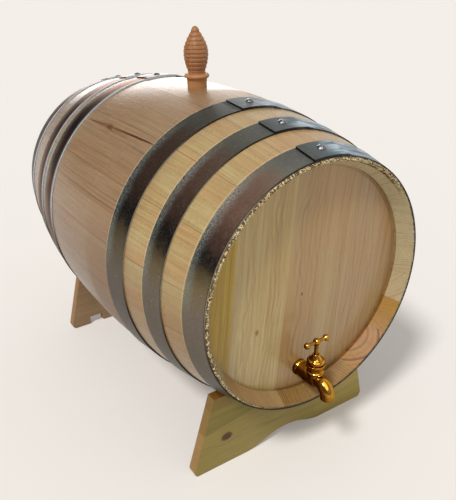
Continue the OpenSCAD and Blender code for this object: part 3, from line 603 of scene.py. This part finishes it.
# Scales of the strip's noises, per metre, and of its streaks round the barrel and across the strip
CLOUD_SCALE = 26.0
FLAKE_SCALE = 900.0
SPANGLE_SCALE = 650.0
GRAIN_SCALE = 1500.0
NICK_GLINT_SCALE = 130.0
DENT_SCALE = 42.0
PATCH_SCALES = (16.0, 8.0)
REFLECTION_STREAK_SCALES = (26.0, 110.0)
ROLLED_SCALES = (14.0, 900.0)

PATCH_DARK = tint(50, 38, 36)
FROST = tint(158, 174, 170)
SPANGLE = tint(150, 146, 140)
ROLLED = tint(60, 52, 46)
PAINTED_REFLECTION_LIGHT = tint(206, 222, 230)
PAINTED_REFLECTION_DARK = tint(74, 60, 50)
NICK_GLINT = tint(214, 214, 210)
PAINTED_EDGE_SHADE = tint(40, 36, 32)
# Tone of the cut edge, bare steel brightened as a painted highlight, its stretch and the glint at grazing
# angles, by end of the barrel
HOOP_EDGES = {"front": (tint(138, 134, 118), FRONT_EDGE, (0.75, 0.75, 0.76, 1.0)),
              "rear": (tint(216, 236, 250), REAR_EDGE, (0.55, 0.50, 0.48, 1.0))}


def painted_reflection_stops(name):
    """The painted reflections round one hoop as stops of a ramp over its full turn."""
    upper, lower = HOOP_PAINTED_LIGHT_GAINS.get(name, (1.0, 1.0))
    start, stop = LIT_UPPER_LEFT
    stops = []
    for at, colour in HOOP_PAINTED_REFLECTIONS:
        gain = upper if start <= at <= stop else lower if at < start else 1.0
        stops.append((at / 360 + 0.5, tint(*(v * gain for v in colour))))
    return stops


def round_streaks(g, turn, y, scales, start, detail=2.0, roughness=0.5):
    """Noise drawn out round the barrel."""
    per_turn, per_metre = scales
    place = g.vector(g.mul(turn, per_turn), g.mul(y, per_metre), start)
    return g.noise(place, detail=detail, roughness=roughness)


def reflection_bands(g, tone, turn, across, y, cloud):
    """Painted reflections: brown and silver streaks with black patches, on the left side of the rear hoops.
    """
    streaks = g.ramp(g.sway(cloud, 0.12, across), REAR_PAINTED_REFLECTIONS)
    patch = round_streaks(g, turn, y, PATCH_SCALES, 7.0)
    dark_patch = g.mul(g.window(turn, *DARK_PATCHED), g.step(across, 0.10, 0.20))
    streaks = g.mix(g.mul(g.step(patch, 0.42, 0.60, 0.0, 0.9), dark_patch), streaks, PATCH_DARK)
    return g.mix(g.mul(g.window(turn, *REFLECTION_BANDED), 0.9), tone, streaks)


def bright_reflections(g, tone, turn, y):
    """Painted reflections: past the top the strip is bright in streaks, with brown between."""
    bright = g.window(turn, *BRIGHT_REFLECTED)
    reflection_streak = round_streaks(g, turn, y, REFLECTION_STREAK_SCALES, 1.0, detail=3.0, roughness=0.6)
    tone = g.mix(g.mul(bright, g.step(reflection_streak, 0.46, 0.60, 0.0, 0.85)), tone, PAINTED_REFLECTION_LIGHT)
    return g.mix(g.mul(bright, g.step(reflection_streak, 0.46, 0.34, 0.0, 0.6)), tone, PAINTED_REFLECTION_DARK)


def hoop_material(name, low_y, high_y):
    """Galvanised strip gone dark, with painted reflections round the barrel: brown and black zones and
    blue-grey highlights. A fine spangle that is strongest along the rear edge, rolling marks, small bright
    nicks that also serve as painted glints, a painted shade line along the front edge of the front hoops, and
    a cut edge of its own tone that is partly a painted highlight."""
    g = new_material(f"metal_{name}")
    end = name.split("_")[0]
    edge_tone_and_highlight, edge_stretch, glint = HOOP_EDGES[end]
    x, y, z = g.place()
    turn = g.math("DIVIDE", g.math("ARCTAN2", x, g.sub(z, AXIS_Z)), math.tau)
    across = g.mul(g.sub(y, low_y), 1.0 / (high_y - low_y))
    place = g.vector(x, y, z)
    cloud = g.noise(place, CLOUD_SCALE, detail=4.0, roughness=0.6)
    # painted reflections round the barrel
    tone = g.ramp(g.sway(cloud, 0.05, g.add(turn, 0.5)), painted_reflection_stops(name))
    # painted reflection bands across the rear hoops
    if end == "rear":
        tone = reflection_bands(g, tone, turn, across, y, cloud)
    # frost lies along the rear edge on the upper left
    flakes = g.noise(place, FLAKE_SCALE, detail=3.0, roughness=0.8)
    far = g.step(g.sway(cloud, 0.4, across), 0.55, 0.90)
    frost = g.mul(g.mul(far, g.window(turn, *FROSTED)), g.step(flakes, 0.38, 0.62))
    tone = g.mix(g.mul(frost, 0.85), tone, FROST)
    spangle = g.split(g.cells(place, SPANGLE_SCALE, "Color"))[0]
    tone = g.mix(g.mul(g.sub(spangle, 0.5), 0.35), tone, SPANGLE)
    rolled = round_streaks(g, turn, y, ROLLED_SCALES, 3.0, detail=3.0)
    tone = g.mix(g.step(rolled, 0.5, 0.8, 0.0, 0.25), tone, ROLLED)
    # painted reflections past the top of the hoop
    tone = bright_reflections(g, tone, turn, y)
    # small bright nicks, which also serve as painted glints
    tone = g.mix(g.step(g.cells(place, NICK_GLINT_SCALE), 0.035, 0.05, 0.8, 0.0), tone, NICK_GLINT)
    # painted shade: a dark line along the front edge of the front hoops
    if end == "front":
        tone = g.mix(g.step(g.sub(y, low_y), 0.0003, 0.0009, 0.8, 0.0), tone, PAINTED_EDGE_SHADE)
    # the cut edge that faces the front is dull on the left and takes a pale tone of its own, bare steel
    # partly brightened as a painted highlight
    cut = g.mul(g.step(g.facing()[1], -0.9, -0.6, 0.9, 0.0), g.window(turn, *edge_stretch))
    tone = g.mix(cut, tone, edge_tone_and_highlight)
    grain = g.noise(place, GRAIN_SCALE, detail=3.0, roughness=0.7)
    rough = g.fma(frost, 0.2, g.fma(grain, 0.16, g.fma(spangle, 0.06, 0.24)))
    dents = g.mul(g.window(turn, *DENTED), g.noise(place, DENT_SCALE, detail=1.0))
    height = g.fma(rolled, 0.4, g.mul(grain, 0.3))
    normal = g.bump(dents, 0.0018, 0.7, g.bump(height, 0.00008, 0.4))
    return g.finish(g.principled(tone, g.fma(cut, 0.3, rough), normal, metallic=g.sub(1.0, cut),
                                 specular_tint=glint))


BRASS_TONES = [(0.3, tint(176, 120, 36)), (0.55, tint(204, 148, 58)), (0.8, tint(230, 184, 92))]
BRASS_AGED_AND_SHADED = tint(70, 30, 6)
BRASS_GLINT = (0.8, 0.62, 0.4, 1.0)


def brass_material():
    """Polished, slightly cast brass, browner below and behind: partly tarnish, partly painted shade."""
    g = new_material("metal_brass")
    place = g.vector(*g.place())
    cast_skin = g.noise(place, scale=260.0, detail=3.0)
    fine = g.noise(place, scale=1500.0)
    worn = g.noise(place, scale=90.0, detail=4.0, roughness=0.65)
    # paler above and in front, brown below and behind: partly tarnish, partly painted shade and dark
    # reflection
    faces = g.facing()
    clean_and_lit = g.fma(faces[2], 0.75, g.mul(faces[1], -0.6))
    aged_and_shaded = g.step(g.sway(worn, 0.4, clean_and_lit), 0.25, 0.90, 0.96, 0.0)
    tone = g.mix(aged_and_shaded, g.ramp(worn, BRASS_TONES), BRASS_AGED_AND_SHADED)
    rough = g.fma(worn, 0.10, g.fma(fine, 0.05, 0.05))
    return g.finish(g.principled(tone, rough, g.bump(cast_skin, 0.0004, 0.3), metallic=1.0,
                                 specular_tint=BRASS_GLINT))


def small_material(name, colour, other, rough, scale, relief=(0.0002, 0.5), **constants):
    """A plain small part: two tones in a fine noise, with a matching bump."""
    g = new_material(name)
    fine = g.noise(g.vector(*g.place()), scale=scale, detail=3.0)
    tone = g.ramp(fine, [(0.35, colour), (0.65, other)])
    return g.finish(g.principled(tone, g.fma(fine, 0.2, rough), g.bump(fine, *relief), **constants))


def dress_metal():
    for name in [f"{end}_{place}_hoop" for end in ("front", "rear") for place in HOOP_PLACES]:
        ys = [v.co.y for v in NODES[name].data.vertices]
        wear(name, hoop_material(name, min(ys), max(ys)))
    wear("hoop_rivets", small_material("metal_rivet", tint(84, 84, 84), tint(150, 152, 154), 0.18, 700.0,
                                       relief=(0.0001, 0.4), metallic=1.0))
    brass = brass_material()
    for name in ("tap_body", "tap_bonnet", "tap_spindle", "tap_handle", "tap_jumper"):
        wear(name, brass)
    wear("tap_packing", small_material("fibre_packing", tint(214, 206, 180), tint(180, 170, 140), 0.8, 900.0))
    wear("tap_washer", small_material("rubber_washer", tint(22, 22, 24), tint(40, 40, 42), 0.6, 600.0))


# Pieces

def link(name, mesh):
    """A new object of the scene with a mesh."""
    piece = bpy.data.objects.new(name, mesh)
    bpy.context.scene.collection.objects.link(piece)
    return piece


def shade_smooth(mesh):
    mesh.polygons.foreach_set("use_smooth", [True] * len(mesh.polygons))


def add_piece(name, points, faces, material, body):
    """A piece of the object, made of its own mesh, that rides on a body."""
    mesh = bpy.data.meshes.new(name)
    mesh.from_pydata(points, [], faces)
    mesh.validate()
    mesh.materials.append(material)
    shade_smooth(mesh)
    piece = link(name, mesh)
    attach(piece, body)
    return piece


def turned(profile, count):
    """Points and faces of a profile of (radius, height) turned round the z axis."""
    points, faces = [], []
    for radius, height in profile:
        for i in range(count):
            a = math.tau * i / count
            points.append((radius * math.cos(a), radius * math.sin(a), height))
    for row in range(len(profile) - 1):
        for i in range(count):
            j = (i + 1) % count
            faces.append((row * count + i, row * count + j, (row + 1) * count + j, (row + 1) * count + i))
    faces.append(tuple(range(count))[::-1])
    faces.append(tuple(range((len(profile) - 1) * count, len(profile) * count)))
    return points, faces


# Bung

# Sizes of the bung, heights from the top of the barrel
BUNG_Y = MID_Y - 0.0117
SHANK_R = 0.0205 / 2
SHANK_TAPER = 0.0833 / 2
SHANK_LEN = 0.019
SHANK_CHAMFER = 0.0006
BEAD_R = 0.0131
BEAD_T = 0.0046
BEAD_GAP = 0.0092
BEAD_UP = BEAD_GAP + BEAD_T
NECK_R = 0.009
GRIP_UP = BEAD_UP + 0.002
GRIP_LEN = 0.045
GRIP_R = 0.02570 / 2
SWELL_SHARE = 0.41
TIP_R = 0.0031
# Where the grooves are and half their width, as shares of the grip's length
GROOVES = [0.05 + (0.88 - 0.05) * i / 9 for i in range(10)]
GROOVE_HALF = 0.026
GROOVE_DEPTH = 0.0006
GRIP_STEPS = 260
BUNG_COUNT = 96
# Where the plain foot of the bung ends
FOOT_Z = AXIS_Z + BILGE_R + BEAD_UP

BUNG_LOOK = {"light": tint(174, 118, 70), "dark": tint(124, 78, 42), "other": tint(160, 104, 58),
             "pore": tint(96, 58, 34), "ring": 0.0024, "heart": (0.002, 0.012), "late": 0.5, "seed": 61.0}
GROOVE_PAINTED_SHADE = tint(88, 46, 20)
FOOT_PAINTED_LIGHT = tint(188, 130, 80)


def shank_r(up):
    return SHANK_R + SHANK_TAPER * up


def grip_r(share):
    """Radius of the grip: it swells above the neck and closes in a small round tip."""
    if share < SWELL_SHARE:
        return NECK_R + (GRIP_R - NECK_R) * math.sin(math.pi / 2 * share / SWELL_SHARE)
    slim = GRIP_R * math.cos(math.pi / 2 * (share - SWELL_SHARE) / (1 - SWELL_SHARE))
    below = min((1 - share) * GRIP_LEN, TIP_R)
    dome = below * (2 * TIP_R - below) * (share - SWELL_SHARE) / (1 - SWELL_SHARE)
    return math.sqrt(slim * slim + dome)


def bung_profile():
    """(radius, height above the barrel, depth of groove) from the shank's lower end to the tip."""
    rows = [(shank_r(-SHANK_LEN) - SHANK_CHAMFER, -SHANK_LEN, 0.0)]
    rows += [(shank_r(up), up, 0.0)
             for up in (SHANK_CHAMFER - SHANK_LEN, -0.009, 0.0, 0.0045, BEAD_GAP - 0.0007)]
    rows.append((shank_r(BEAD_GAP) + 0.0004, BEAD_GAP, 0.6))
    low = BEAD_R - BEAD_T / 2
    rows += [(low + BEAD_T / 2 * math.cos(a), BEAD_GAP + BEAD_T / 2 * (1 + math.sin(a)), 0.0)
             for a in (math.radians(d) for d in range(-90, 91, 12))]
    rows += [(NECK_R + 0.0006, BEAD_UP, 0.8), (NECK_R, BEAD_UP + 0.0006, 0.8)]
    for i in range(GRIP_STEPS + 1):
        share = i / GRIP_STEPS
        near = min(GROOVES, key=lambda at: abs(share - at))
        cut = max(0.0, 1.0 - abs(share - near) / GROOVE_HALF)
        cut = cut * cut * (3 - 2 * cut)
        radius = grip_r(share) - GROOVE_DEPTH * cut
        rows.append((max(radius, 0.0002), GRIP_UP + share * GRIP_LEN, cut))
    return rows


def bung_painted_light(g, place, faces, colour):
    """Painted shade in the grooves and painted light on the foot."""
    cut = g.node("ShaderNodeAttribute", attribute_name="groove").outputs["Fac"]
    # painted shade in the grooves
    colour = g.mix(g.mul(cut, 0.3), colour, GROOVE_PAINTED_SHADE)
    # painted light on the foot
    return g.mix(g.step(place[2], FOOT_Z - 0.001, FOOT_Z + 0.001, 0.6, 0.0), colour, FOOT_PAINTED_LIGHT)


def dress_bung():
    """A smooth turned bung in place of the faceted one, with painted shade in its grooves and painted light
    on its foot.
    """
    material = plain_wood_material("wood_bung", 2, BUNG_LOOK, bung_painted_light)
    wear("bung", material)
    rows = bung_profile()
    points, faces = turned([(r, h) for r, h, cut in rows], BUNG_COUNT)
    points = [(x, y + BUNG_Y, z + AXIS_Z + BILGE_R) for x, y, z in points]
    piece = add_piece("turned_bung", points, faces, material, "bung")
    depth = piece.data.attributes.new("groove", "FLOAT", "POINT")
    depth.data.foreach_set("value", [cut for r, h, cut in rows for i in range(BUNG_COUNT)])
    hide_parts("bung")


# Fine shapes

# Outline of the torn rim in front: radius, way out of the end face where it is torn and where it is plain
FRONT_RIM = [(0.1194, -0.0052, -0.0056), (0.1201, -0.0006, -0.0038), (0.1209, 0.0009, -0.0020),
             (0.1217, 0.0017, -0.0006), (0.1226, 0.0018, 0.0001), (0.1234, 0.0013, 0.0005),
             (0.12395, 0.0005, 0.0005), (0.12395, -0.0012, -0.0012)]
RIM_COUNT = 2200
# The torn stretch, in degrees from the top, positive towards -X: its middle, its half and its fading ends
TORN_MIDDLE = 50.0
TORN_HALF = 115.0
TORN_FADE = 25.0
# Low on the left only the outer rows stay torn
INNER_ROWS = 4
INNER_FROM = 90.0
INNER_SHORTER = 30.0
# The fibres' roughness: scales of its two noises, how far they turn from row to row, and the rows' own shift
SPOT_SCALE = 190.0
SPOT_RISE = 0.04
TWIST_SCALE = 480.0
TWIST = 0.006
ROW_SHIFT = 0.00045

# The same stretch in its material, in radians from the top, positive towards +X, and where its inner edge
# moves outwards, from one radius to another
TORN_TURN = ((-2.75, -2.45), (0.65, 1.0))
INNER_TURN = (-2.25, -1.75)
INNER_EDGE = (0.1224, 0.1188)
# Middle of the torn fibres, and where the plain ring's dark outer line begins
FIBRE_R = 0.1219
DARK_LINE_R = (0.1223, 0.1229)
TORN_TONES = [(0.38, tint(56, 36, 16)), (0.46, tint(140, 108, 60)), (0.54, tint(214, 196, 146)),
              (0.72, tint(236, 226, 188))]
PLAIN_TONES = [(0.30, tint(110, 88, 56)), (0.42, tint(164, 148, 110)), (0.7, tint(186, 174, 138))]
TORN_DARK_TONE = tint(56, 34, 16)
PLAIN_LINE_TONE = tint(38, 28, 18)
LOW_RIM = tint(128, 96, 54)


def rim_point(a, k):
    """Radius of row k of the torn rim at the angle a, and its way out of the end face."""
    radius, torn, plain = FRONT_RIM[k]
    turn = math.degrees(math.atan2(math.sin(a - math.pi / 2), math.cos(a - math.pi / 2)))
    room = TORN_HALF - abs(turn - TORN_MIDDLE)
    if k < INNER_ROWS and turn > INNER_FROM:
        room -= INNER_SHORTER
    fade = max(0.0, min(1.0, room / TORN_FADE))
    if k in (0, len(FRONT_RIM) - 1):
        return radius, fade * torn + (1.0 - fade) * plain
    spot = Vector((math.cos(a), math.sin(a), SPOT_RISE * k)) * SPOT_SCALE
    twist = Vector((math.cos(a + TWIST * k), math.sin(a + TWIST * k), 0.0)) * TWIST_SCALE
    rough = noise.noise(spot) + 0.8 * noise.noise(twist)
    swell = max(1.0 + 0.9 * rough, 0.0)
    torn *= swell if torn > 0 else 1.0
    plain *= swell if plain > 0 else 1.0
    shift = ROW_SHIFT * noise.noise(spot * 0.6) * fade
    return radius + shift, fade * torn + (1.0 - fade) * plain


def add_torn_rim():
    """The torn, fibrous edge of the staves' front ends."""
    name = "front_rim_fibres"
    face = MID_Y - HALF_LEN
    rows = len(FRONT_RIM)
    points, faces = [], []
    for i in range(RIM_COUNT):
        a = math.tau * i / RIM_COUNT
        j = (i + 1) % RIM_COUNT
        for k in range(rows):
            r, way = rim_point(a, k)
            points.append((r * math.cos(a), face - way, AXIS_Z + r * math.sin(a)))
            m = (k + 1) % rows
            faces.append((i * rows + k, i * rows + m, j * rows + m, j * rows + k))
    add_piece(name, points, faces, torn_material(f"wood_{name}"), "barrel")


def torn_material(name):
    """Pale torn fibres with dark gaps, and a plain ring with a dark outer line where it isn't torn."""
    g = new_material(name)
    x, y, z = g.place()
    up = g.sub(z, AXIS_Z)
    turn = g.math("ARCTAN2", x, up)
    radius = g.length(x, up)
    place = g.vector(x, g.mul(y, 0.6), z)
    fine = g.noise(place, scale=680.0, detail=3.0, roughness=0.7)
    coarse = g.noise(place, scale=400.0)
    # the fibres are darker along both edges of the torn band, and in spots between them
    side = g.step(g.absolute(g.sub(radius, FIBRE_R)), 0.0008, 0.0019)
    darker = g.step(g.fma(side, 0.15, coarse), 0.59, 0.66, 0.0, 0.9)
    fibres = g.mix(darker, g.ramp(fine, TORN_TONES), TORN_DARK_TONE)
    plain = g.mix(g.step(z, 0.09, 0.17, 0.85, 0.0), g.ramp(fine, PLAIN_TONES), LOW_RIM)
    line = g.step(g.sway(coarse, 0.003, radius), *DARK_LINE_R)
    plain = g.mix(g.mul(line, 0.95), plain, PLAIN_LINE_TONE)
    # low on the left only the outer part is torn
    inner_edge = g.step(turn, *INNER_TURN, *INNER_EDGE)
    torn = g.mul(g.window(turn, *TORN_TURN), g.step(g.sub(radius, inner_edge), -0.0003, 0.0003))
    rough = g.fma(fine, 0.2, 0.62)
    return g.finish(g.principled(g.mix(torn, plain, fibres), rough, g.bump(fine, 0.0006, 0.8)))


def shown_copy(node_name, name, body, change):
    """A finer copy of a CAD node that stands in for it; change works on the copy before it rides."""
    piece = link(name, NODES[node_name].data.copy())
    change(piece)
    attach(piece, body)
    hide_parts(node_name)


def settle(piece):
    """Makes the piece's modifiers part of its mesh."""
    graph = bpy.context.evaluated_depsgraph_get()
    mesh = bpy.data.meshes.new_from_object(piece.evaluated_get(graph), depsgraph=graph)
    materials = list(piece.data.materials)
    piece.modifiers.clear()
    piece.data = mesh
    mesh.materials.clear()
    for material in materials:
        mesh.materials.append(material)


def cast(voxel, rounds):
    """Melts corners and joints together, as on a cast and polished part."""
    def change(piece):
        remesh = piece.modifiers.new("remesh", "REMESH")
        remesh.mode = "VOXEL"
        remesh.voxel_size = voxel
        smooth = piece.modifiers.new("smooth", "SMOOTH")
        smooth.factor = 0.5
        smooth.iterations = rounds
        settle(piece)
        shade_smooth(piece.data)
    return change


WELD = 1e-6
FLAT_ANGLE = math.radians(0.5)
EASED_ANGLE = math.radians(35)
CREASE_ANGLE = math.radians(28)


def eased(width, segments):
    """Rounds the sharp edges a little."""
    def change(piece):
        work = bmesh.new()
        work.from_mesh(piece.data)
        bmesh.ops.remove_doubles(work, verts=work.verts, dist=WELD)
        bmesh.ops.dissolve_limit(work, angle_limit=FLAT_ANGLE, verts=work.verts, edges=work.edges)
        sharp = [e for e in work.edges if len(e.link_faces) == 2 and e.calc_face_angle(0.0) > EASED_ANGLE]
        bmesh.ops.bevel(work, geom=sharp, offset=width, segments=segments, profile=0.6,
                        affect="EDGES", clamp_overlap=True)
        bmesh.ops.triangulate(work, faces=work.faces)
        work.to_mesh(piece.data)
        work.free()
        shade_smooth(piece.data)
        piece.data.set_sharp_from_angle(angle=CREASE_ANGLE)
    return change


def add_fine_shapes():
    add_torn_rim()
    shown_copy("tap_body", "cast_tap_body", "barrel", cast(0.00035, 4))
    shown_copy("tap_bonnet", "eased_tap_bonnet", "barrel", eased(0.0002, 2))
    shown_copy("tap_handle", "cast_tap_handle", "spindle", cast(0.00025, 2))
    for name in ("front_cradle", "rear_cradle"):
        shown_copy(name, f"eased_{name}", "stand", eased(0.0011, 3))


# Stage, light and camera

FLOOR_SIZE = 80.0
BACKGROUND = tint(244, 239, 233)
PAPER_SHADE = tint(240, 235, 229)
# How much of the floor's own colour shows over its lit one
FLOOR_GLOW = 0.18

AMBIENT = 0.40
AMBIENT_TONE = (1.0, 0.99, 0.975, 1.0)
# What glossy surfaces see: a pale room, a dim side and a dim front, and two bright panels. Each has a
# direction and the cosines between which it fades in
ROOM_TONE = (1.0, 0.98, 0.95, 1.0)
ROOM_LEVEL = 0.95
DIMMING = -0.78
DIM_SIDE = ((-0.60, 0.76, 0.24), 0.25, 0.85)
DIM_FRONT = ((-0.35, -0.85, 0.35), 0.1, 0.7)
BACK_PANEL = ((0.415, 0.906, 0.081), 0.95, 0.993)
BACK_PANEL_LEVEL = 6.0
FRONT_PANEL = ((-0.15, -0.55, 0.75), 0.86, 0.95)
FRONT_PANEL_LEVEL = 2.6

# Suns: the direction they shine from, strength and angle in degrees
KEY = ((-0.70, -0.38, 1.0), 2.30, 10)
FILL = ((0.15, -0.8, 0.55), 0.15, 70)

LENS = 45.093
SENSOR = 36.0
CAMERA_AT = (-0.3421, MID_Y - 0.5888, AXIS_Z + 0.2845)
CAMERA_RIGHT = (0.8324, -0.5539, -0.0181)
CAMERA_BACK = (-0.4916, -0.7530, 0.4373)


def make_floor():
    bpy.ops.mesh.primitive_plane_add(size=FLOOR_SIZE, location=(0.0, 0.0, 0.0))
    floor = bpy.context.object
    floor.name = "floor"
    g = new_material("stage_floor")
    paper = g.noise(g.vector(*g.place()), scale=60.0)
    colour = g.mix(g.mul(paper, 0.02), BACKGROUND, PAPER_SHADE)
    matt = g.principled(colour, 0.9, specular_ior_level=0.0)
    glow = g.node("ShaderNodeEmission")
    g.put(glow.inputs["Color"], colour)
    rays = g.light_paths()
    mirrored = g.math("MAXIMUM", rays["Is Glossy Ray"], rays["Is Transmission Ray"])
    seen = g.mul(g.math("MAXIMUM", rays["Is Camera Ray"], mirrored), FLOOR_GLOW)
    floor.data.materials.append(g.finish(g.blend_shaders(seen, matt, glow.outputs[0])))


def make_world():
    """Even soft light for matt surfaces; glossy ones see a pale room with a bright panel behind the
    barrel, a softer one high in front, and dimmer walls at the left and in front."""
    world = bpy.data.worlds.new("studio")
    bpy.context.scene.world = world
    g = Graph(world, "ShaderNodeOutputWorld")

    def towards(direction, low, high):
        """1 in the given direction and 0 away from it; low and high are cosines."""
        dot = g.node("ShaderNodeVectorMath", operation="DOT_PRODUCT")
        g.put(dot.inputs[0], g.node("ShaderNodeTexCoord").outputs["Generated"])
        g.put(dot.inputs[1], Vector(direction).normalized())
        return g.step(dot.outputs["Value"], low, high)

    def background(colour, strength):
        made = g.node("ShaderNodeBackground")
        g.put(made.inputs["Color"], colour)
        g.put(made.inputs["Strength"], strength)
        return made.outputs[0]

    rays = g.light_paths()
    dim = g.math("MAXIMUM", towards(*DIM_SIDE), towards(*DIM_FRONT))
    level = g.fma(towards(*BACK_PANEL), BACK_PANEL_LEVEL, g.fma(dim, DIMMING, ROOM_LEVEL))
    level = g.fma(towards(*FRONT_PANEL), FRONT_PANEL_LEVEL, level)
    ambient = background(AMBIENT_TONE, AMBIENT)
    matt_or_room = g.blend_shaders(rays["Is Glossy Ray"], ambient, background(ROOM_TONE, level))
    straight = g.math("MAXIMUM", rays["Is Camera Ray"], rays["Is Transmission Ray"])
    g.finish(g.blend_shaders(straight, matt_or_room, background(BACKGROUND, 1.0)))


def add_sun(name, towards, strength, angle):
    """A soft sun that shines from the direction given."""
    data = bpy.data.lights.new(name, "SUN")
    data.energy = strength
    data.angle = math.radians(angle)
    lamp = bpy.data.objects.new(name, data)
    lamp.rotation_euler = Vector(towards).to_track_quat("Z", "Y").to_euler()
    bpy.context.scene.collection.objects.link(lamp)


def make_lights():
    add_sun("key", *KEY)
    add_sun("fill", *FILL)


def make_camera():
    data = bpy.data.cameras.new("camera")
    data.sensor_fit = "VERTICAL"
    data.sensor_height = SENSOR
    data.lens = LENS
    data.clip_start = 0.01
    camera = bpy.data.objects.new("camera", data)
    right = Vector(CAMERA_RIGHT).normalized()
    back = Vector(CAMERA_BACK).normalized()
    above = back.cross(right).normalized()
    turn = Matrix((right, above, back)).transposed().to_4x4()
    camera.matrix_world = Matrix.Translation(CAMERA_AT) @ turn
    bpy.context.scene.collection.objects.link(camera)
    bpy.context.scene.camera = camera


make_camera()
make_world()
make_lights()
make_floor()
dress_staves()
dress_heads()
dress_stand_and_dowels()
dress_metal()
dress_bung()
add_fine_shapes()
bpy.context.scene.view_settings.view_transform = "Standard"
